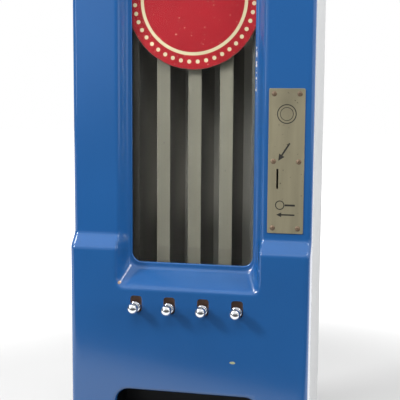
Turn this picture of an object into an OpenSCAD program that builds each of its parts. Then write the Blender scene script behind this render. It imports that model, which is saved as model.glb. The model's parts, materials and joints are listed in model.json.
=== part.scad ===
// Four-column stick-gum vending machine
// Origin at the middle of the base underside: +X right, +Y to the back, +Z up.
// Depths named *_p are measured back from the foremost plane of the front cover.

/* [Gum columns] */
// Clear width between two strips
column_gap = 19.1; // [16:0.1:24]
// Width of the strip in front of each divider
strip_w = 13.6; // [11:0.1:18]
// Depth of a column from strip to back plate
column_d = 76; // [70:1:90]
// How far each strip overlaps the sticks beside it
strip_lap = 1.8; // [1:0.1:3]
// How far the columns rise above the window
column_over = 24; // [10:1:30]
// Room between the window frame and the strips
column_set = 12; // [9:0.5:20]
// Sheet thickness of the columns and the mechanism
inner_t = 1.2; // [0.8:0.1:2]
// Height of the gate under the strips
gate_h = 6; // [5.5:0.5:10]

/* [Window] */
// Height of the window opening
win_h = 344; // [260:1:420]
// Corner radius of the window opening
win_r = 10; // [4:0.5:20]
// Width of the end strips that shows at each side
side_show = 4.65; // [2:0.05:6]
// Flat frame beside the opening
frame_side = 3.8; // [3.5:0.1:10]
// Flat frame below and above the opening
frame_foot = 6; // [5:0.5:15]
// Glass thickness
glass_t = 2; // [1.5:0.1:4]
// Diameter of the sign disc
sign_d = 138; // [100:1:140]
// Thickness of the sign disc
sign_t = 0.8; // [0.5:0.1:1.5]
// Drop from the top of the window to the sign's centre
sign_drop = 78; // [75:1:120]

/* [Front cover] */
// Sheet thickness of the cover
sheet = 1.2; // [0.8:0.1:1.5]
// Radius of the rounded outer edge
edge_r = 6; // [5:0.5:8]
// Corner radius of the cabinet outline at the top
corner_r = 20; // [12:1:30]
// Corner radius of the cabinet outline at the foot
foot_r = 10; // [9:0.5:16]
// Bend radius of the jambs, sill and head
bend_r = 3; // [2.5:0.1:3.2]
// Set-back of the upper panels
panel_back = 12; // [9:0.5:14]
// Set-back of the window frame
frame_back = 24; // [20:0.5:30]
// Width of a sloping jamb
jamb_run = 7.3; // [6:0.1:10]
// How much the alcove narrows below the ledges
alcove_in = 1.3; // [0:0.1:2]
// Width of a side panel beyond the jamb
panel_w = 48.7; // [46:0.1:70]
// Corner radius of the window alcove at the frame
alcove_r = 13; // [9:0.5:13.5]
// Corner radius of the window alcove at its front edge
alcove_edge_r = 8; // [4:0.5:13]
// Rise of the sloping sill
sill_h = 17; // [12:0.5:24]
// Rise of the slope over the window
head_h = 16; // [10:0.5:25]
// Height from the sill's lower edge to the ledges
ledge_rise = 40; // [36:1:70]
// Rise of each ledge
ledge_h = 12; // [8:0.5:18]
// Bend radius of the ledges
ledge_r = 4; // [2.5:0.5:5]
// Height of the plain panel over the window
top_h = 40; // [38:1:60]
// Depth of the cover's rim
rim_d = 24; // [22:0.5:32]

/* [Delivery opening] */
// Height of the opening's lower edge
tray_z = 42; // [36:1:60]
// Height of the opening
tray_h = 50; // [46:1:70]
// Width of the opening
tray_w = 150; // [110:1:152]
// Corner radius of the opening
tray_r = 15; // [10:0.5:23]
// Bend radius of its turned-in edge
lip_r = 3.5; // [2:0.1:5]
// Straight depth of the turned-in edge
lip_d = 3; // [1:0.5:4]

/* [Plungers] */
// Height of the plungers above the delivery opening
rod_rise = 88.5; // [85:0.5:120]
// Height from the plungers to the sill's lower edge
sill_rise = 18.5; // [14:0.5:30]
// Extra pitch of the plungers over the columns
plunger_spread = 2; // [0:0.1:2.5]
// Rod diameter
rod_d = 6; // [4:0.1:7]
// Pull of a plunger
travel = 32; // [26:0.5:34]
// Diameter of the ball knob
knob_d = 10.8; // [10:0.1:11.2]
// Reach of the ball's centre in front of the cover
knob_reach = 12; // [11:0.5:16]
// Width of the slot in the cover
slot_w = 11.8; // [11.6:0.1:14]
// Slot height above the plunger's axis
slot_up = 10.6; // [7.8:0.1:12]
// Slot height below the plunger's axis
slot_down = 6; // [6:0.1:8]
// Mean coil diameter of the return spring
spring_d = 8.6; // [8.4:0.1:9]
// Wire diameter of the return spring
wire_d = 0.9; // [0.7:0.1:1]
// Turns of the return spring
spring_turns = 9; // [6:1:12]

/* [Coin path] */
// Coin diameter
coin_d = 19.05; // [17:0.05:22]
// Coin thickness
coin_t = 1.52; // [1.2:0.02:2]
// Coin plate width
plate_w = 35.3; // [32:0.1:38]
// Coin plate height
plate_h = 141.7; // [120:0.1:170]
// Coin plate thickness
plate_t = 1; // [0.6:0.1:1.5]
// From the window alcove's edge to the coin plate's centre line
plate_off = 22.5; // [22:0.1:26]
// Height of the coin plate above the ledge
plate_rise = 8; // [6:0.5:30]
// Height of the coin slot's centre above the plate's foot
coin_rise = 53.8; // [45:0.1:70]
// Coin slot's offset from the plate's centre line
coin_side = 8.3; // [6:0.1:9]

/* [Case] */
// Sheet thickness of the case
case_t = 1.5; // [1:0.1:2]
// Depth of the front half of the case
seam_d = 62; // [40:1:76]
// Room behind the columns
back_gap = 13.3; // [12:0.1:30]
// Spacing of the wall holes across
wall_dx = 170; // [120:1:180]
// Spacing of the wall holes up the back
wall_dz = 400; // [300:5:420]
// Diameter of the wall holes
wall_hole_d = 6.5; // [4:0.1:9]

/* [Lock] */
// Diameter of the lock barrel
lock_d = 16; // [12:0.5:17]
// Height of the lock above the window's head
lock_rise = 17; // [16:0.5:18]
// Length of the cam from the lock's axis
cam_len = 18; // [15:0.5:18]

/* [Clearances] */
// Gap between the cover and the case
gap = 0.3; // [0.2:0.05:0.5]
// Radial clearance of running fits
run_gap = 0.05; // [0.02:0.01:0.1]

/* [Hidden] */
$fn = 48;
pitch = column_gap + strip_w;
plunger_pitch = pitch + plunger_spread;
win_w = 4 * column_gap + 3 * strip_w + 2 * side_show;
jamb_w = win_w + 2 * frame_side + 2 * jamb_run;
cab_w = jamb_w + 2 * panel_w;
tray_top = tray_z + tray_h;
rod_z = tray_top + rod_rise;
sill_z = rod_z + sill_rise;
win_z = sill_z + sill_h + frame_foot;
win_top = win_z + win_h;
head_z = win_top + frame_foot + head_h;
cab_h = head_z + top_h;
ledge_z = sill_z + ledge_rise;
column_p = frame_back + column_set;
back_p = column_p + column_d;
cab_d = back_p + inner_t + back_gap + case_t;
front_y = -cab_d / 2;
wall_p = cab_d - case_t;
case_p = rim_d + gap;
seam_p = case_p + seam_d;

// Segments of each bend and of each rounded edge
bend_n = 4;
edge_n = 5;
corner_n = 4;

// How far two solids of one piece run into each other, and a cutter beyond what it cuts
bite = 0.5;
over = 1;

// Shelf, gate and plunger train
shelf_clear = 7.5;
shelf_t = 1.5;
shelf_z = rod_z + shelf_clear;
shelf_top = shelf_z + shelf_t;
shelf_in = 8;
shelf_p = column_p + shelf_in;
shelf_skirt = 17.5;
gate_z = shelf_top + gate_h;
tab_t = 4;
tab_w = 7;
tab_clear = 1.5;
tab_fore = 0.5;
tab_h = gate_h - tab_clear;
tab_p = back_p - tab_fore;
block_l = 12;
block_w = 16;
block_drop = 7;
block_over = 0.5;
block_p = tab_p + tab_t - block_l + block_over;
bush_r = 5;
bush_l = 12;
bush_flange_r = 6.5;
bush_flange_t = 2;
bush_end_p = shelf_p + bush_l;
mech_gap = 1.8;
mech_x = 2 * pitch + strip_w / 2 + mech_gap;
plunger_xs = [for (i = [-1.5:1:1.5]) i * plunger_pitch];
divider_xs = [for (i = [-2:2]) i * pitch];

// Trip shaft with pawls
trip_back = 22;
trip_drop = 15;
trip_r = 3;
trip_p = block_p - trip_back;
trip_z = rod_z - trip_drop;
pawl_side = 6.8;
pawl_t = 2;
hub_r = 5;
hub_t = 4;

// Coin path
plate_x = jamb_w / 2 + plate_off;
plate_z = ledge_z + ledge_h + plate_rise;
coin_x = plate_x - coin_side;
coin_z = plate_z + coin_rise;
coin_play = 1.45;
track_w = coin_d + coin_play;
track_t = coin_t + coin_play;
slot_play = 0.45;
cheek_t = 1.5;
rail_t = 3;

// Glass channel section
channel_t = 1;
channel_in = 1.8;
glass_play = 0.2;
glass_hold = 6.8;
sign_edge = 1.05;
glass_lap = max(glass_hold, (sign_d - win_w) / 2 + sign_edge);
channel_w = glass_lap + glass_play + channel_t;
glass_p = frame_back + sheet + channel_t + glass_play;
sign_p = glass_p + glass_t;
channel_d = 2 * channel_t + glass_t + sign_t + 2 * glass_play;
win_lip_r = 1.5;
win_lip_d = 0.5;

// Hinge at the foot of the cover
hinge_p = edge_r;
hinge_lift = 1;
hinge_z = edge_r + hinge_lift;
hinge_r = 2;
eye_r = 4.2;
arm_low = 2.5;
arm_up = 4;
bracket_t = 4;
lug_t = 6;
bracket_in = 35;
lug_in = 23;
bracket_x = cab_w / 2 - bracket_in;
lug_x = cab_w / 2 - lug_in;

// Lock
lock_z = head_z + lock_rise;
bezel_over = 1.5;
bezel_r = lock_d / 2 + bezel_over;
bezel_t = 2.5;
barrel_l = 21;
nut_t = 3.8;
nut_r = 12;
nut_sides = 6;
spindle_r = 3;
cam_t = 2;
cam_w = 9;
cam_screw_r = 1.5;
cam_screw_l = 5;
spindle_over = 1.5;
spindle_l = cam_t + spindle_over;
cam_p = panel_back + barrel_l + gap;
strike_h = 12;

// Colours
blue = [0.17, 0.36, 0.60];
pale = [0.85, 0.86, 0.87];
steel = [0.55, 0.54, 0.49];
dark = [0.12, 0.12, 0.12];
chrome = [0.82, 0.83, 0.85];
brass = [0.72, 0.58, 0.30];
nickel = [0.52, 0.50, 0.42];
copper = [0.55, 0.33, 0.23];
red = [0.67, 0.16, 0.22];
glass = [0.80, 0.88, 0.90, 0.3];

// Box from depth p, with x and z given by their low corner
module block(x, p, z, size) {
  translate([x, front_y + p, z]) cube(size);
}

// Extrudes a front view drawing from depth p backwards
module from_front(p, len) {
  translate([0, front_y + p + len, 0]) rotate([90, 0, 0]) linear_extrude(len) children();
}

// Extrudes a side view drawing (depth, height) across the machine from x
module from_side(x, len) {
  translate([x, front_y, 0]) rotate([90, 0, 90]) linear_extrude(len) children();
}

// Round bar along the depth axis
module rod_y(x, p, z, r, len) {
  translate([x, front_y + p, z]) rotate([-90, 0, 0]) cylinder(r = r, h = len);
}

// Round bar across the machine
module rod_x(x, p, z, r, len) {
  translate([x, front_y + p, z]) rotate([0, 90, 0]) cylinder(r = r, h = len);
}

// Rectangle with round corners, centred across, standing on z = 0
module rounded_rect(w, h, r) {
  translate([-w / 2 + r, 0]) square([w - 2 * r, h]);
  translate([-w / 2, r]) square([w, h - 2 * r]);
  for (x = [-1, 1], z = [r, h - r]) translate([x * (w / 2 - r), z]) circle(r);
}

// Cabinet outline in front view, drawn in by a given amount
module outline(inset) {
  w = cab_w / 2 - inset;
  low = foot_r - inset;
  high = corner_r - inset;
  translate([-w, foot_r]) square([2 * w, cab_h - foot_r - corner_r]);
  translate([-w + low, inset]) square([2 * (w - low), foot_r]);
  translate([-w + high, cab_h - corner_r - over]) square([2 * (w - high), high + over]);
  for (s = [-1, 1]) {
    translate([s * (w - low), foot_r]) circle(low);
    translate([s * (w - high), cab_h - corner_r]) circle(high);
  }
}

// Wall of the cabinet outline between two insets
module outline_ring(outer, inner) {
  difference() {
    outline(outer);
    outline(inner);
  }
}

// Double bend from a flat face down a slope to another flat face: [sideways, depth] points
function bend(run, depth, r) =
  let (a = atan2(depth, run), t = r * tan(a / 2))
  concat(
    [for (k = [0:bend_n]) [r * sin(a * k / bend_n) - t, r * (1 - cos(a * k / bend_n))]],
    [for (k = [bend_n:-1:0]) [run + t - r * sin(a * k / bend_n), depth - r * (1 - cos(a * k / bend_n))]]
  );

// Sideways place at which such a bend reaches depth q
function bend_at(q, run, depth, r) =
  let (a = atan2(depth, run), t = r * tan(a / 2), qa = r * (1 - cos(a)))
  q <= qa ? r * sin(acos(1 - q / r)) - t
  : q >= depth - qa ? run + t - r * sin(acos(1 - (depth - q) / r))
  : t * cos(a) + (q - qa) / tan(a);

// Jamb sections of the cover below and above the ledges: [x, depth] from the panel to the frame
jamb_foot = win_w / 2 + frame_side;
alcove_x = jamb_w / 2 - alcove_in;
low_jamb = [for (b = bend(alcove_x - jamb_foot, frame_back, bend_r)) [alcove_x - b[0], b[1]]];
frame_set = frame_back - panel_back;
high_jamb = [for (b = bend(jamb_run, frame_set, bend_r)) [jamb_w / 2 - b[0], panel_back + b[1]]];
jamb_last = len(low_jamb) - 1;
flat_x = cab_w / 2 - edge_r;

// Heights at which the sill and the head reach a depth
function sill_at(q) = sill_z + bend_at(q, sill_h, frame_back, bend_r);
function head_at(q) = head_z - bend_at(q - panel_back, head_h, frame_set, bend_r);

// Depths of the rows on a slope: those of the jamb's columns and three between the two bends
slope_shares = [0.08, 0.3, 0.6];
function slope_rows(jamb) =
  concat(
    [for (k = [0:bend_n]) jamb[k][1]],
    [for (f = slope_shares) mix(jamb[bend_n][1], jamb[bend_n + 1][1], f)],
    [for (k = [bend_n + 1:jamb_last]) jamb[k][1]]
  );
low_rows = slope_rows(low_jamb);
high_rows = slope_rows(high_jamb);

// Rows beyond the slopes, as shares of the corner radius
corner_rows = [0.12, 0.35, 0.65, 1];

// How far a round corner of radius r draws a column in at a height beyond the end of its own contour
function corner_in(h, r) = h >= r ? 0 : r - sqrt(max(0, pow(r, 2) - pow(r - max(h, 0), 2)));

// Corner radius of the contour at a share of the alcove's depth
function corner_at(share) = mix(alcove_edge_r, alcove_r, share);

// Rows of the cover's skin from foot to top:
// [z, share of the upper section, depth limit, inset, edge angle]
cover_rows = concat(
  [for (k = [0:corner_n]) let (a = 90 - 90 * k / corner_n)
    [foot_r - (foot_r - edge_r) * sin(a), 0, 0, (foot_r - edge_r) * (1 - cos(a)), -a]],
  [for (q = low_rows) [sill_at(q), 0, q, 0, 0]],
  [for (c = corner_rows) [sill_at(frame_back) + c * alcove_r, 0, frame_back, 0, 0]],
  [for (b = bend(ledge_h, panel_back, ledge_r)) [ledge_z + b[0], b[1] / panel_back, frame_back, 0, 0]],
  [for (i = [len(corner_rows) - 1:-1:0])
    [head_at(frame_back) - corner_rows[i] * alcove_r, 1, frame_back, 0, 0]],
  [for (i = [len(high_rows) - 1:-1:0]) [head_at(high_rows[i]), 1, high_rows[i], 0, 0]],
  [for (k = [0:corner_n]) let (a = 90 * k / corner_n)
    [cab_h - corner_r + (corner_r - edge_r) * sin(a), 1, panel_back, (corner_r - edge_r) * (1 - cos(a)), a]]
);
row_n = len(cover_rows);
row_mid = row_n / 2;
col_n = 2 * (jamb_last + 2);

function mix(a, b, w) = a + (b - a) * w;

// Point of the cover's outer skin at column i of row j
function skin(i, j) =
  let (
    row = cover_rows[j],
    w = row[1],
    side = i < col_n / 2 ? -1 : 1,
    k = (i < col_n / 2 ? i : col_n - 1 - i) - 1,
    at = k < 0 ? [flat_x, panel_back * w] : mix(low_jamb[k], high_jamb[k], w),
    past = k < 0 ? alcove_r : min(row[0] - sill_at(low_jamb[k][1]), head_at(high_jamb[k][1]) - row[0]),
    corner = k < 0 ? alcove_r : corner_at(low_jamb[k][1] / frame_back),
    narrow = (flat_x - row[3]) / flat_x
  )
  [
    side * (at[0] - corner_in(past, corner)) * narrow,
    front_y + min(at[1], max(row[2], panel_back * w)),
    row[0]
  ];

skin_pts = [for (j = [0:row_n - 1]) [for (i = [0:col_n - 1]) skin(i, j)]];

// Same point moved in by the sheet's thickness
function lining(i, j) =
  let (p = skin_pts[j][i])
  i == 0 || j == 0 || i == col_n - 1 || j == row_n - 1 ? p + [0, sheet, 0]
  : let (
      n = cross(skin_pts[j][i + 1] - skin_pts[j][i - 1], skin_pts[j + 1][i] - skin_pts[j - 1][i])
    )
    p - sheet * n / norm(n);

// Edge of the skin, anticlockwise from the front: [column, row, outward x, outward z]
edge_loop = concat(
  [for (i = [0:col_n - 1]) [i, 0, 0, -1]],
  [for (j = [1:row_n - 1]) [col_n - 1, j, cos(cover_rows[j][4]), sin(cover_rows[j][4])]],
  [for (i = [col_n - 2:-1:0]) [i, row_n - 1, 0, 1]],
  [for (j = [row_n - 2:-1:1]) [0, j, -cos(cover_rows[j][4]), sin(cover_rows[j][4])]]
);
loop_n = len(edge_loop);

// Ring k of the rounded edge and rim, for a rounding of radius r
function rim_ring(k, r) =
  [for (e = edge_loop)
    let (p = skin_pts[e[1]][e[0]], a = 90 * min(k, edge_n) / edge_n)
    [
      p[0] + e[2] * r * sin(a),
      k > edge_n ? front_y + rim_d : p[1] + edge_r - r * cos(a),
      p[2] + e[3] * r * sin(a)
    ]];

function flat_list(rows) = [for (row = rows) for (p = row) p];

// Skin of the pressed cover as one closed shell, without its openings
module cover_shell() {
  grid = col_n * row_n;
  ring_n = edge_n + 1;
  inner_start = grid + ring_n * loop_n;
  points = concat(
    flat_list(skin_pts),
    flat_list([for (k = [1:ring_n]) rim_ring(k, edge_r)]),
    [for (j = [0:row_n - 1]) for (i = [0:col_n - 1]) lining(i, j)],
    flat_list([for (k = [1:ring_n]) rim_ring(k, edge_r - sheet)])
  );
  function at(i, j) = j * col_n + i;
  function ring(k, s) =
    let (e = edge_loop[s % loop_n])
    k == 0 ? at(e[0], e[1]) : grid + (k - 1) * loop_n + s % loop_n;
  face = [
    for (j = [0:row_n - 2]) for (i = [0:col_n - 2])
      let (a = at(i, j), b = at(i + 1, j), c = at(i + 1, j + 1), d = at(i, j + 1))
      for (t = (i < col_n / 2 - 1) == (j < row_mid) ? [[a, d, c], [a, c, b]] : [[a, d, b], [d, c, b]]) t
  ];
  edge = [
    for (k = [0:ring_n - 1]) for (s = [0:loop_n - 1])
      let (a = ring(k, s), b = ring(k, s + 1), c = ring(k + 1, s + 1), d = ring(k + 1, s))
      for (t = [[a, b, c], [a, c, d]]) t
  ];
  outer = concat(face, edge);
  inner = [for (t = outer) [t[2] + inner_start, t[1] + inner_start, t[0] + inner_start]];
  back = [
    for (s = [0:loop_n - 1])
      let (a = ring(ring_n, s), b = ring(ring_n, s + 1))
      for (t = [[a, b, b + inner_start], [a, b + inner_start, a + inner_start]]) t
  ];
  polyhedron(points, concat(outer, inner, back));
}

// Section of a turned-in edge: x runs outward from the opening, y is height above its deep end
module lip_section(r, d) {
  lap = 0.4;
  square([sheet, d]);
  translate([r, d + r - sheet]) square([lap, sheet]);
  intersection() {
    translate([0, d]) square(r);
    translate([r, d]) difference() {
      circle(r);
      circle(r - sheet);
    }
  }
}

// Turned-in edge round an opening of width w and height h whose foot is at z, on the face at depth p
module turned_lip(w, h, corner, z, p, r, d) {
  depth = r + d;
  translate([0, front_y + p + depth, z + h / 2]) rotate([90, 0, 0]) {
    for (sx = [0, 1], sy = [0, 1]) mirror([sx, 0, 0]) mirror([0, sy, 0]) {
      translate([w / 2 - corner, h / 2 - corner, 0])
        rotate_extrude(angle = 90) translate([corner, 0]) lip_section(r, d);
    }
    for (sx = [0, 1]) mirror([sx, 0, 0])
      translate([w / 2, h / 2 - corner, 0])
        rotate([90, 0, 0]) linear_extrude(h - 2 * corner) lip_section(r, d);
    for (sy = [0, 1]) mirror([0, sy, 0])
      translate([-w / 2 + corner, h / 2, 0])
        rotate([90, 0, 90]) linear_extrude(w - 2 * corner) lip_section(r, d);
  }
}

// Hole for such an edge, cut through the sheet at depth p
module lip_hole(w, h, corner, z, p, r) {
  from_front(p - over, sheet + 2 * over)
    translate([0, z - r]) rounded_rect(w + 2 * r, h + 2 * r, corner + r);
}

// Places of the coin plate's screws
module at_plate_screws() {
  screw_in = 5.2;
  half_w = plate_w / 2 - screw_in;
  half_h = plate_h / 2 - screw_in;
  for (x = [-1, 1], k = [-1:1])
    translate([plate_x + x * half_w, 0, plate_z + plate_h / 2 + k * half_h]) children();
}

plate_screw_r = 1.4;
screw_gap = 0.1;

module front_cover() {
  cut = 12;
  slot_r = 3;
  lock_gap = 0.1;
  notch_gap = 1.5;
  notch_fore = 0.5;
  notch = bracket_t + 2 * notch_gap;
  relief_p = hinge_p + sqrt(pow(rim_d - hinge_p, 2) - pow(hinge_z, 2));
  color(blue) {
    difference() {
      cover_shell();
      lip_hole(win_w, win_h, win_r, win_z, frame_back, win_lip_r);
      lip_hole(tray_w, tray_h, tray_r, tray_z, 0, lip_r);
      for (x = plunger_xs)
        from_front(-over, cut)
          translate([x, rod_z - slot_down]) rounded_rect(slot_w, slot_up + slot_down, slot_r);
      block(coin_x - (coin_t + slot_play) / 2, panel_back - over, coin_z - (coin_d + slot_play) / 2,
        [coin_t + slot_play, cut, coin_d + slot_play]);
      at_plate_screws() rod_y(0, panel_back - over, 0, plate_screw_r + screw_gap, cut);
      rod_y(0, panel_back - over, lock_z, lock_d / 2 + lock_gap, cut);
      for (s = [-1, 1])
        block(s * bracket_x - notch / 2, hinge_p - notch_fore, -over, [notch, rim_d, hinge_z]);
      block(-cab_w, relief_p, -over, [2 * cab_w, rim_d, hinge_z + over]);
    }
    turned_lip(win_w, win_h, win_r, win_z, frame_back, win_lip_r, win_lip_d);
    turned_lip(tray_w, tray_h, tray_r, tray_z, 0, lip_r, lip_d);
  }
}

// Inner lip at the seam, which slides inside the back pan
joggle = 10;
joggle_gap = 0.1;
joggle_in = 2 * case_t + joggle_gap;

module case_shell() {
  color(pale) {
    from_front(case_p, seam_d) outline_ring(0, case_t);
    from_front(case_p, case_t) difference() {
      outline(0);
      translate([-cab_w / 2 + strike_h, -over]) square([cab_w - 2 * strike_h, cab_h - strike_h + over]);
    }
    from_front(seam_p - joggle, 2 * joggle) outline_ring(case_t + joggle_gap, joggle_in);
    from_front(seam_p - joggle, joggle / 2) outline_ring(case_t / 2, 2 * case_t);
  }
}

module back_pan() {
  color(pale) difference() {
    union() {
      from_front(wall_p, case_t) outline(0);
      from_front(seam_p + gap, cab_d - seam_p - gap) outline_ring(0, case_t);
    }
    for (x = [-1, 1], z = [-1, 1])
      translate([x * wall_dx / 2, 0, cab_h / 2 + z * wall_dz / 2])
        rod_y(0, wall_p - over, 0, wall_hole_d / 2, case_t + 2 * over);
  }
}

module window_glass() {
  color(glass)
    block(-win_w / 2 - glass_lap, glass_p, win_z - glass_lap,
      [win_w + 2 * glass_lap, glass_t, win_h + 2 * glass_lap]);
}

module sign_disc() {
  color(red) rod_y(0, sign_p, win_top - sign_drop, sign_d / 2, sign_t);
}

// Section of the glass channel: x runs outward from the window's edge, y is depth behind the frame
module channel_section() {
  translate([channel_in, 0]) square([channel_w - channel_in, channel_t]);
  translate([channel_in, channel_d - channel_t]) square([channel_w - channel_in, channel_t]);
  translate([channel_w - channel_t, 0]) square([channel_t, channel_d]);
}

// Upright channel at one side of the window
module glass_channel(side) {
  color(steel) translate([0, front_y + frame_back + sheet, win_z + win_r])
    linear_extrude(win_h + glass_lap - win_r)
      mirror([side < 0 ? 1 : 0, 0]) translate([win_w / 2, 0]) channel_section();
}

module glass_channel_foot() {
  length = win_w - 2 * win_r;
  color(steel) translate([-length / 2, front_y + frame_back + sheet, win_z])
    rotate([0, 90, 0]) linear_extrude(length) channel_section();
}

module coin_plate() {
  color(nickel) difference() {
    block(plate_x - plate_w / 2, panel_back - plate_t, plate_z, [plate_w, plate_t, plate_h]);
    block(coin_x - (coin_t + slot_play) / 2, panel_back - plate_t - over, coin_z - (coin_d + slot_play) / 2,
      [coin_t + slot_play, plate_t + 2 * over, coin_d + slot_play]);
    at_plate_screws()
      rod_y(0, panel_back - plate_t - over, 0, plate_screw_r + screw_gap, plate_t + 2 * over);
  }
}

module coin_plate_screws() {
  head_r = 2.6;
  head_h = 1.1;
  stem_l = 4;
  ball_r = (head_r * head_r + head_h * head_h) / (2 * head_h);
  color(copper) at_plate_screws() {
    rod_y(0, panel_back - plate_t, 0, plate_screw_r, stem_l);
    translate([0, front_y + panel_back - plate_t, 0]) rotate([90, 0, 0]) intersection() {
      translate([0, 0, head_h - ball_r]) sphere(ball_r);
      cylinder(r = head_r, h = head_h);
    }
  }
}

cam_seat_p = panel_back + barrel_l + spindle_l;

module lock_barrel() {
  key_w = 2;
  key_h = 8;
  key_d = 5;
  color(chrome) difference() {
    union() {
      rod_y(0, panel_back - bezel_t, lock_z, bezel_r, bezel_t);
      rod_y(0, panel_back - bite, lock_z, lock_d / 2, barrel_l + bite);
      rod_y(0, panel_back + barrel_l - bite, lock_z, spindle_r, spindle_l + bite);
    }
    block(-key_w / 2, panel_back - bezel_t - over, lock_z - key_h / 2, [key_w, key_d, key_h]);
    rod_y(0, cam_seat_p - cam_screw_l - over, lock_z, cam_screw_r + run_gap, cam_screw_l + 2 * over);
  }
}

module lock_nut() {
  color(chrome) difference() {
    translate([0, front_y + panel_back + sheet, lock_z])
      rotate([-90, 0, 0]) cylinder(r = nut_r, h = nut_t, $fn = nut_sides);
    rod_y(0, panel_back, lock_z, lock_d / 2 + run_gap, sheet + nut_t + over);
  }
}

module lock_cam() {
  boss = 1.5;
  color(steel) difference() {
    from_front(cam_p, cam_t) union() {
      translate([0, lock_z]) circle(cam_w / 2 + boss);
      translate([-cam_len, lock_z - cam_w / 2]) square([cam_len, cam_w]);
    }
    rod_y(0, cam_p - over, lock_z, spindle_r + run_gap, cam_t + 2 * over);
  }
}

module lock_cam_screw() {
  head_r = 5;
  head_t = 1.6;
  color(steel) {
    rod_y(0, cam_seat_p, lock_z, head_r, head_t);
    rod_y(0, cam_seat_p - cam_screw_l, lock_z, cam_screw_r, cam_screw_l + bite);
  }
}

module hinge_rod() {
  end = 4;
  color(steel) rod_x(-lug_x - lug_t / 2 - end, hinge_p, hinge_z, hinge_r, 2 * lug_x + lug_t + 2 * end);
}

module hinge_brackets() {
  foot_l = 17;
  foot_in = 3;
  leg_p = case_p + foot_in;
  arm_end = leg_p + foot_l;
  foot_t = 1.5;
  foot_w = 16;
  fix_gap = 0.02;
  color(steel) for (s = [-1, 1]) {
    from_side(s * bracket_x - bracket_t / 2, bracket_t) difference() {
      union() {
        translate([hinge_p, hinge_z]) circle(eye_r);
        translate([hinge_p, hinge_z - arm_low]) square([arm_end - hinge_p, arm_low + arm_up]);
        translate([leg_p, case_t]) square([arm_end - leg_p, hinge_z - case_t]);
      }
      translate([hinge_p, hinge_z]) circle(hinge_r + fix_gap);
    }
    block(s * bracket_x - foot_w / 2, leg_p, case_t, [foot_w, arm_end - leg_p, foot_t]);
  }
}

module hinge_lugs() {
  lug_l = 8;
  color(steel) for (s = [-1, 1])
    from_side(s * lug_x - lug_t / 2, lug_t) difference() {
      union() {
        translate([hinge_p, hinge_z]) circle(eye_r);
        translate([hinge_p, sheet]) square([lug_l, hinge_z - sheet]);
      }
      translate([hinge_p, hinge_z]) circle(hinge_r + run_gap);
    }
}

column_top = win_top + column_over;

// Folded divider: a strip in front and two walls behind it, standing on the shelf
module divider(i) {
  wall = strip_w / 2 - strip_lap;
  color(steel) translate([divider_xs[i], 0, 0]) {
    block(-strip_w / 2, column_p, gate_z, [strip_w, inner_t, column_top - gate_z]);
    for (x = [-wall, wall - inner_t])
      block(x, column_p + inner_t - bite, shelf_top,
        [inner_t, column_d - inner_t + bite, column_top - shelf_top]);
  }
}

module column_back() {
  half = 2 * pitch + strip_w / 2 - strip_lap;
  color(steel) block(-half, back_p, gate_z, [2 * half, inner_t, column_top - gate_z]);
}

module magazine_spacers() {
  spacer_r = 5;
  inset = 40;
  color(steel) for (x = [-1, 1], z = [gate_z + inset, column_top - inset])
    rod_y(x * pitch, back_p + inner_t, z, spacer_r, back_gap);
}

module shelf() {
  slot_gap = 0.5;
  rear = 5.5;
  fit_gap = 0.02;
  slot_run = 1.5;
  slot_p = tab_p - travel - slot_run;
  color(steel) difference() {
    union() {
      block(-mech_x, shelf_p, shelf_z, [2 * mech_x, back_p + rear - shelf_p, shelf_t]);
      block(-mech_x, shelf_p, shelf_top - shelf_skirt - shelf_t, [2 * mech_x, shelf_t, shelf_skirt]);
    }
    for (x = plunger_xs) {
      block(x - tab_w / 2 - slot_gap, slot_p, shelf_z - over,
        [tab_w + 2 * slot_gap, column_d, shelf_t + 2 * over]);
      rod_y(x, shelf_p - over, rod_z, bush_r + fit_gap, shelf_t + 2 * over);
    }
  }
}

module plunger_bushes() {
  color(brass) for (x = plunger_xs) difference() {
    union() {
      rod_y(x, shelf_p - bush_flange_t, rod_z, bush_flange_r, bush_flange_t);
      rod_y(x, shelf_p - bite, rod_z, bush_r, bush_l + bite);
    }
    rod_y(x, shelf_p - bush_flange_t - over, rod_z, rod_d / 2 + run_gap, bush_l + bush_flange_t + 2 * over);
  }
}

// Side plate of the mechanism with its flange on the back wall
module mechanism_side(side) {
  drop = 28;
  rise = 23;
  low_z = trip_z - drop;
  high_z = shelf_top + rise;
  flange = 8;
  color(steel) difference() {
    mirror([side < 0 ? 1 : 0, 0, 0]) {
      block(mech_x, shelf_p, low_z, [shelf_t, wall_p - shelf_p, high_z - low_z]);
      block(mech_x, wall_p - shelf_t, low_z, [flange, shelf_t, high_z - low_z]);
    }
    rod_x(side * (mech_x + shelf_t / 2) - shelf_t, trip_p, trip_z, trip_r + run_gap, 2 * shelf_t);
  }
}

module trip_shaft() {
  left_end = mech_x + shelf_t + hub_t;
  color(steel) rod_x(-left_end, trip_p, trip_z, trip_r, left_end + coin_x + hub_t);
}

// Hub on the trip shaft with a flat arm drawn in side view
module trip_arm(x, t) {
  color(brass) difference() {
    union() {
      rod_x(x - hub_t / 2, trip_p, trip_z, hub_r, hub_t);
      from_side(x - t / 2, t) children();
    }
    rod_x(x - hub_t, trip_p, trip_z, trip_r + run_gap, 2 * hub_t);
  }
}

module trip_pawls() {
  tip_gap = 0.8;
  tip_l = 4;
  front_gap = 0.5;
  arm_h = 3;
  tip_p = block_p - front_gap;
  tip_z = rod_z - block_drop - tip_gap;
  for (x = plunger_xs) trip_arm(x + pawl_side, pawl_t) {
    translate([trip_p, tip_z - 2 * arm_h]) square([tip_p - trip_p, arm_h]);
    translate([tip_p - tip_l, tip_z - 2 * arm_h]) square([tip_l, 2 * arm_h]);
  }
}

track_fore = 12;
pan_gap = 1;
track_p = block_p - track_fore;
pan_p = track_p + pan_gap;
pan_l = coin_d;

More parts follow.
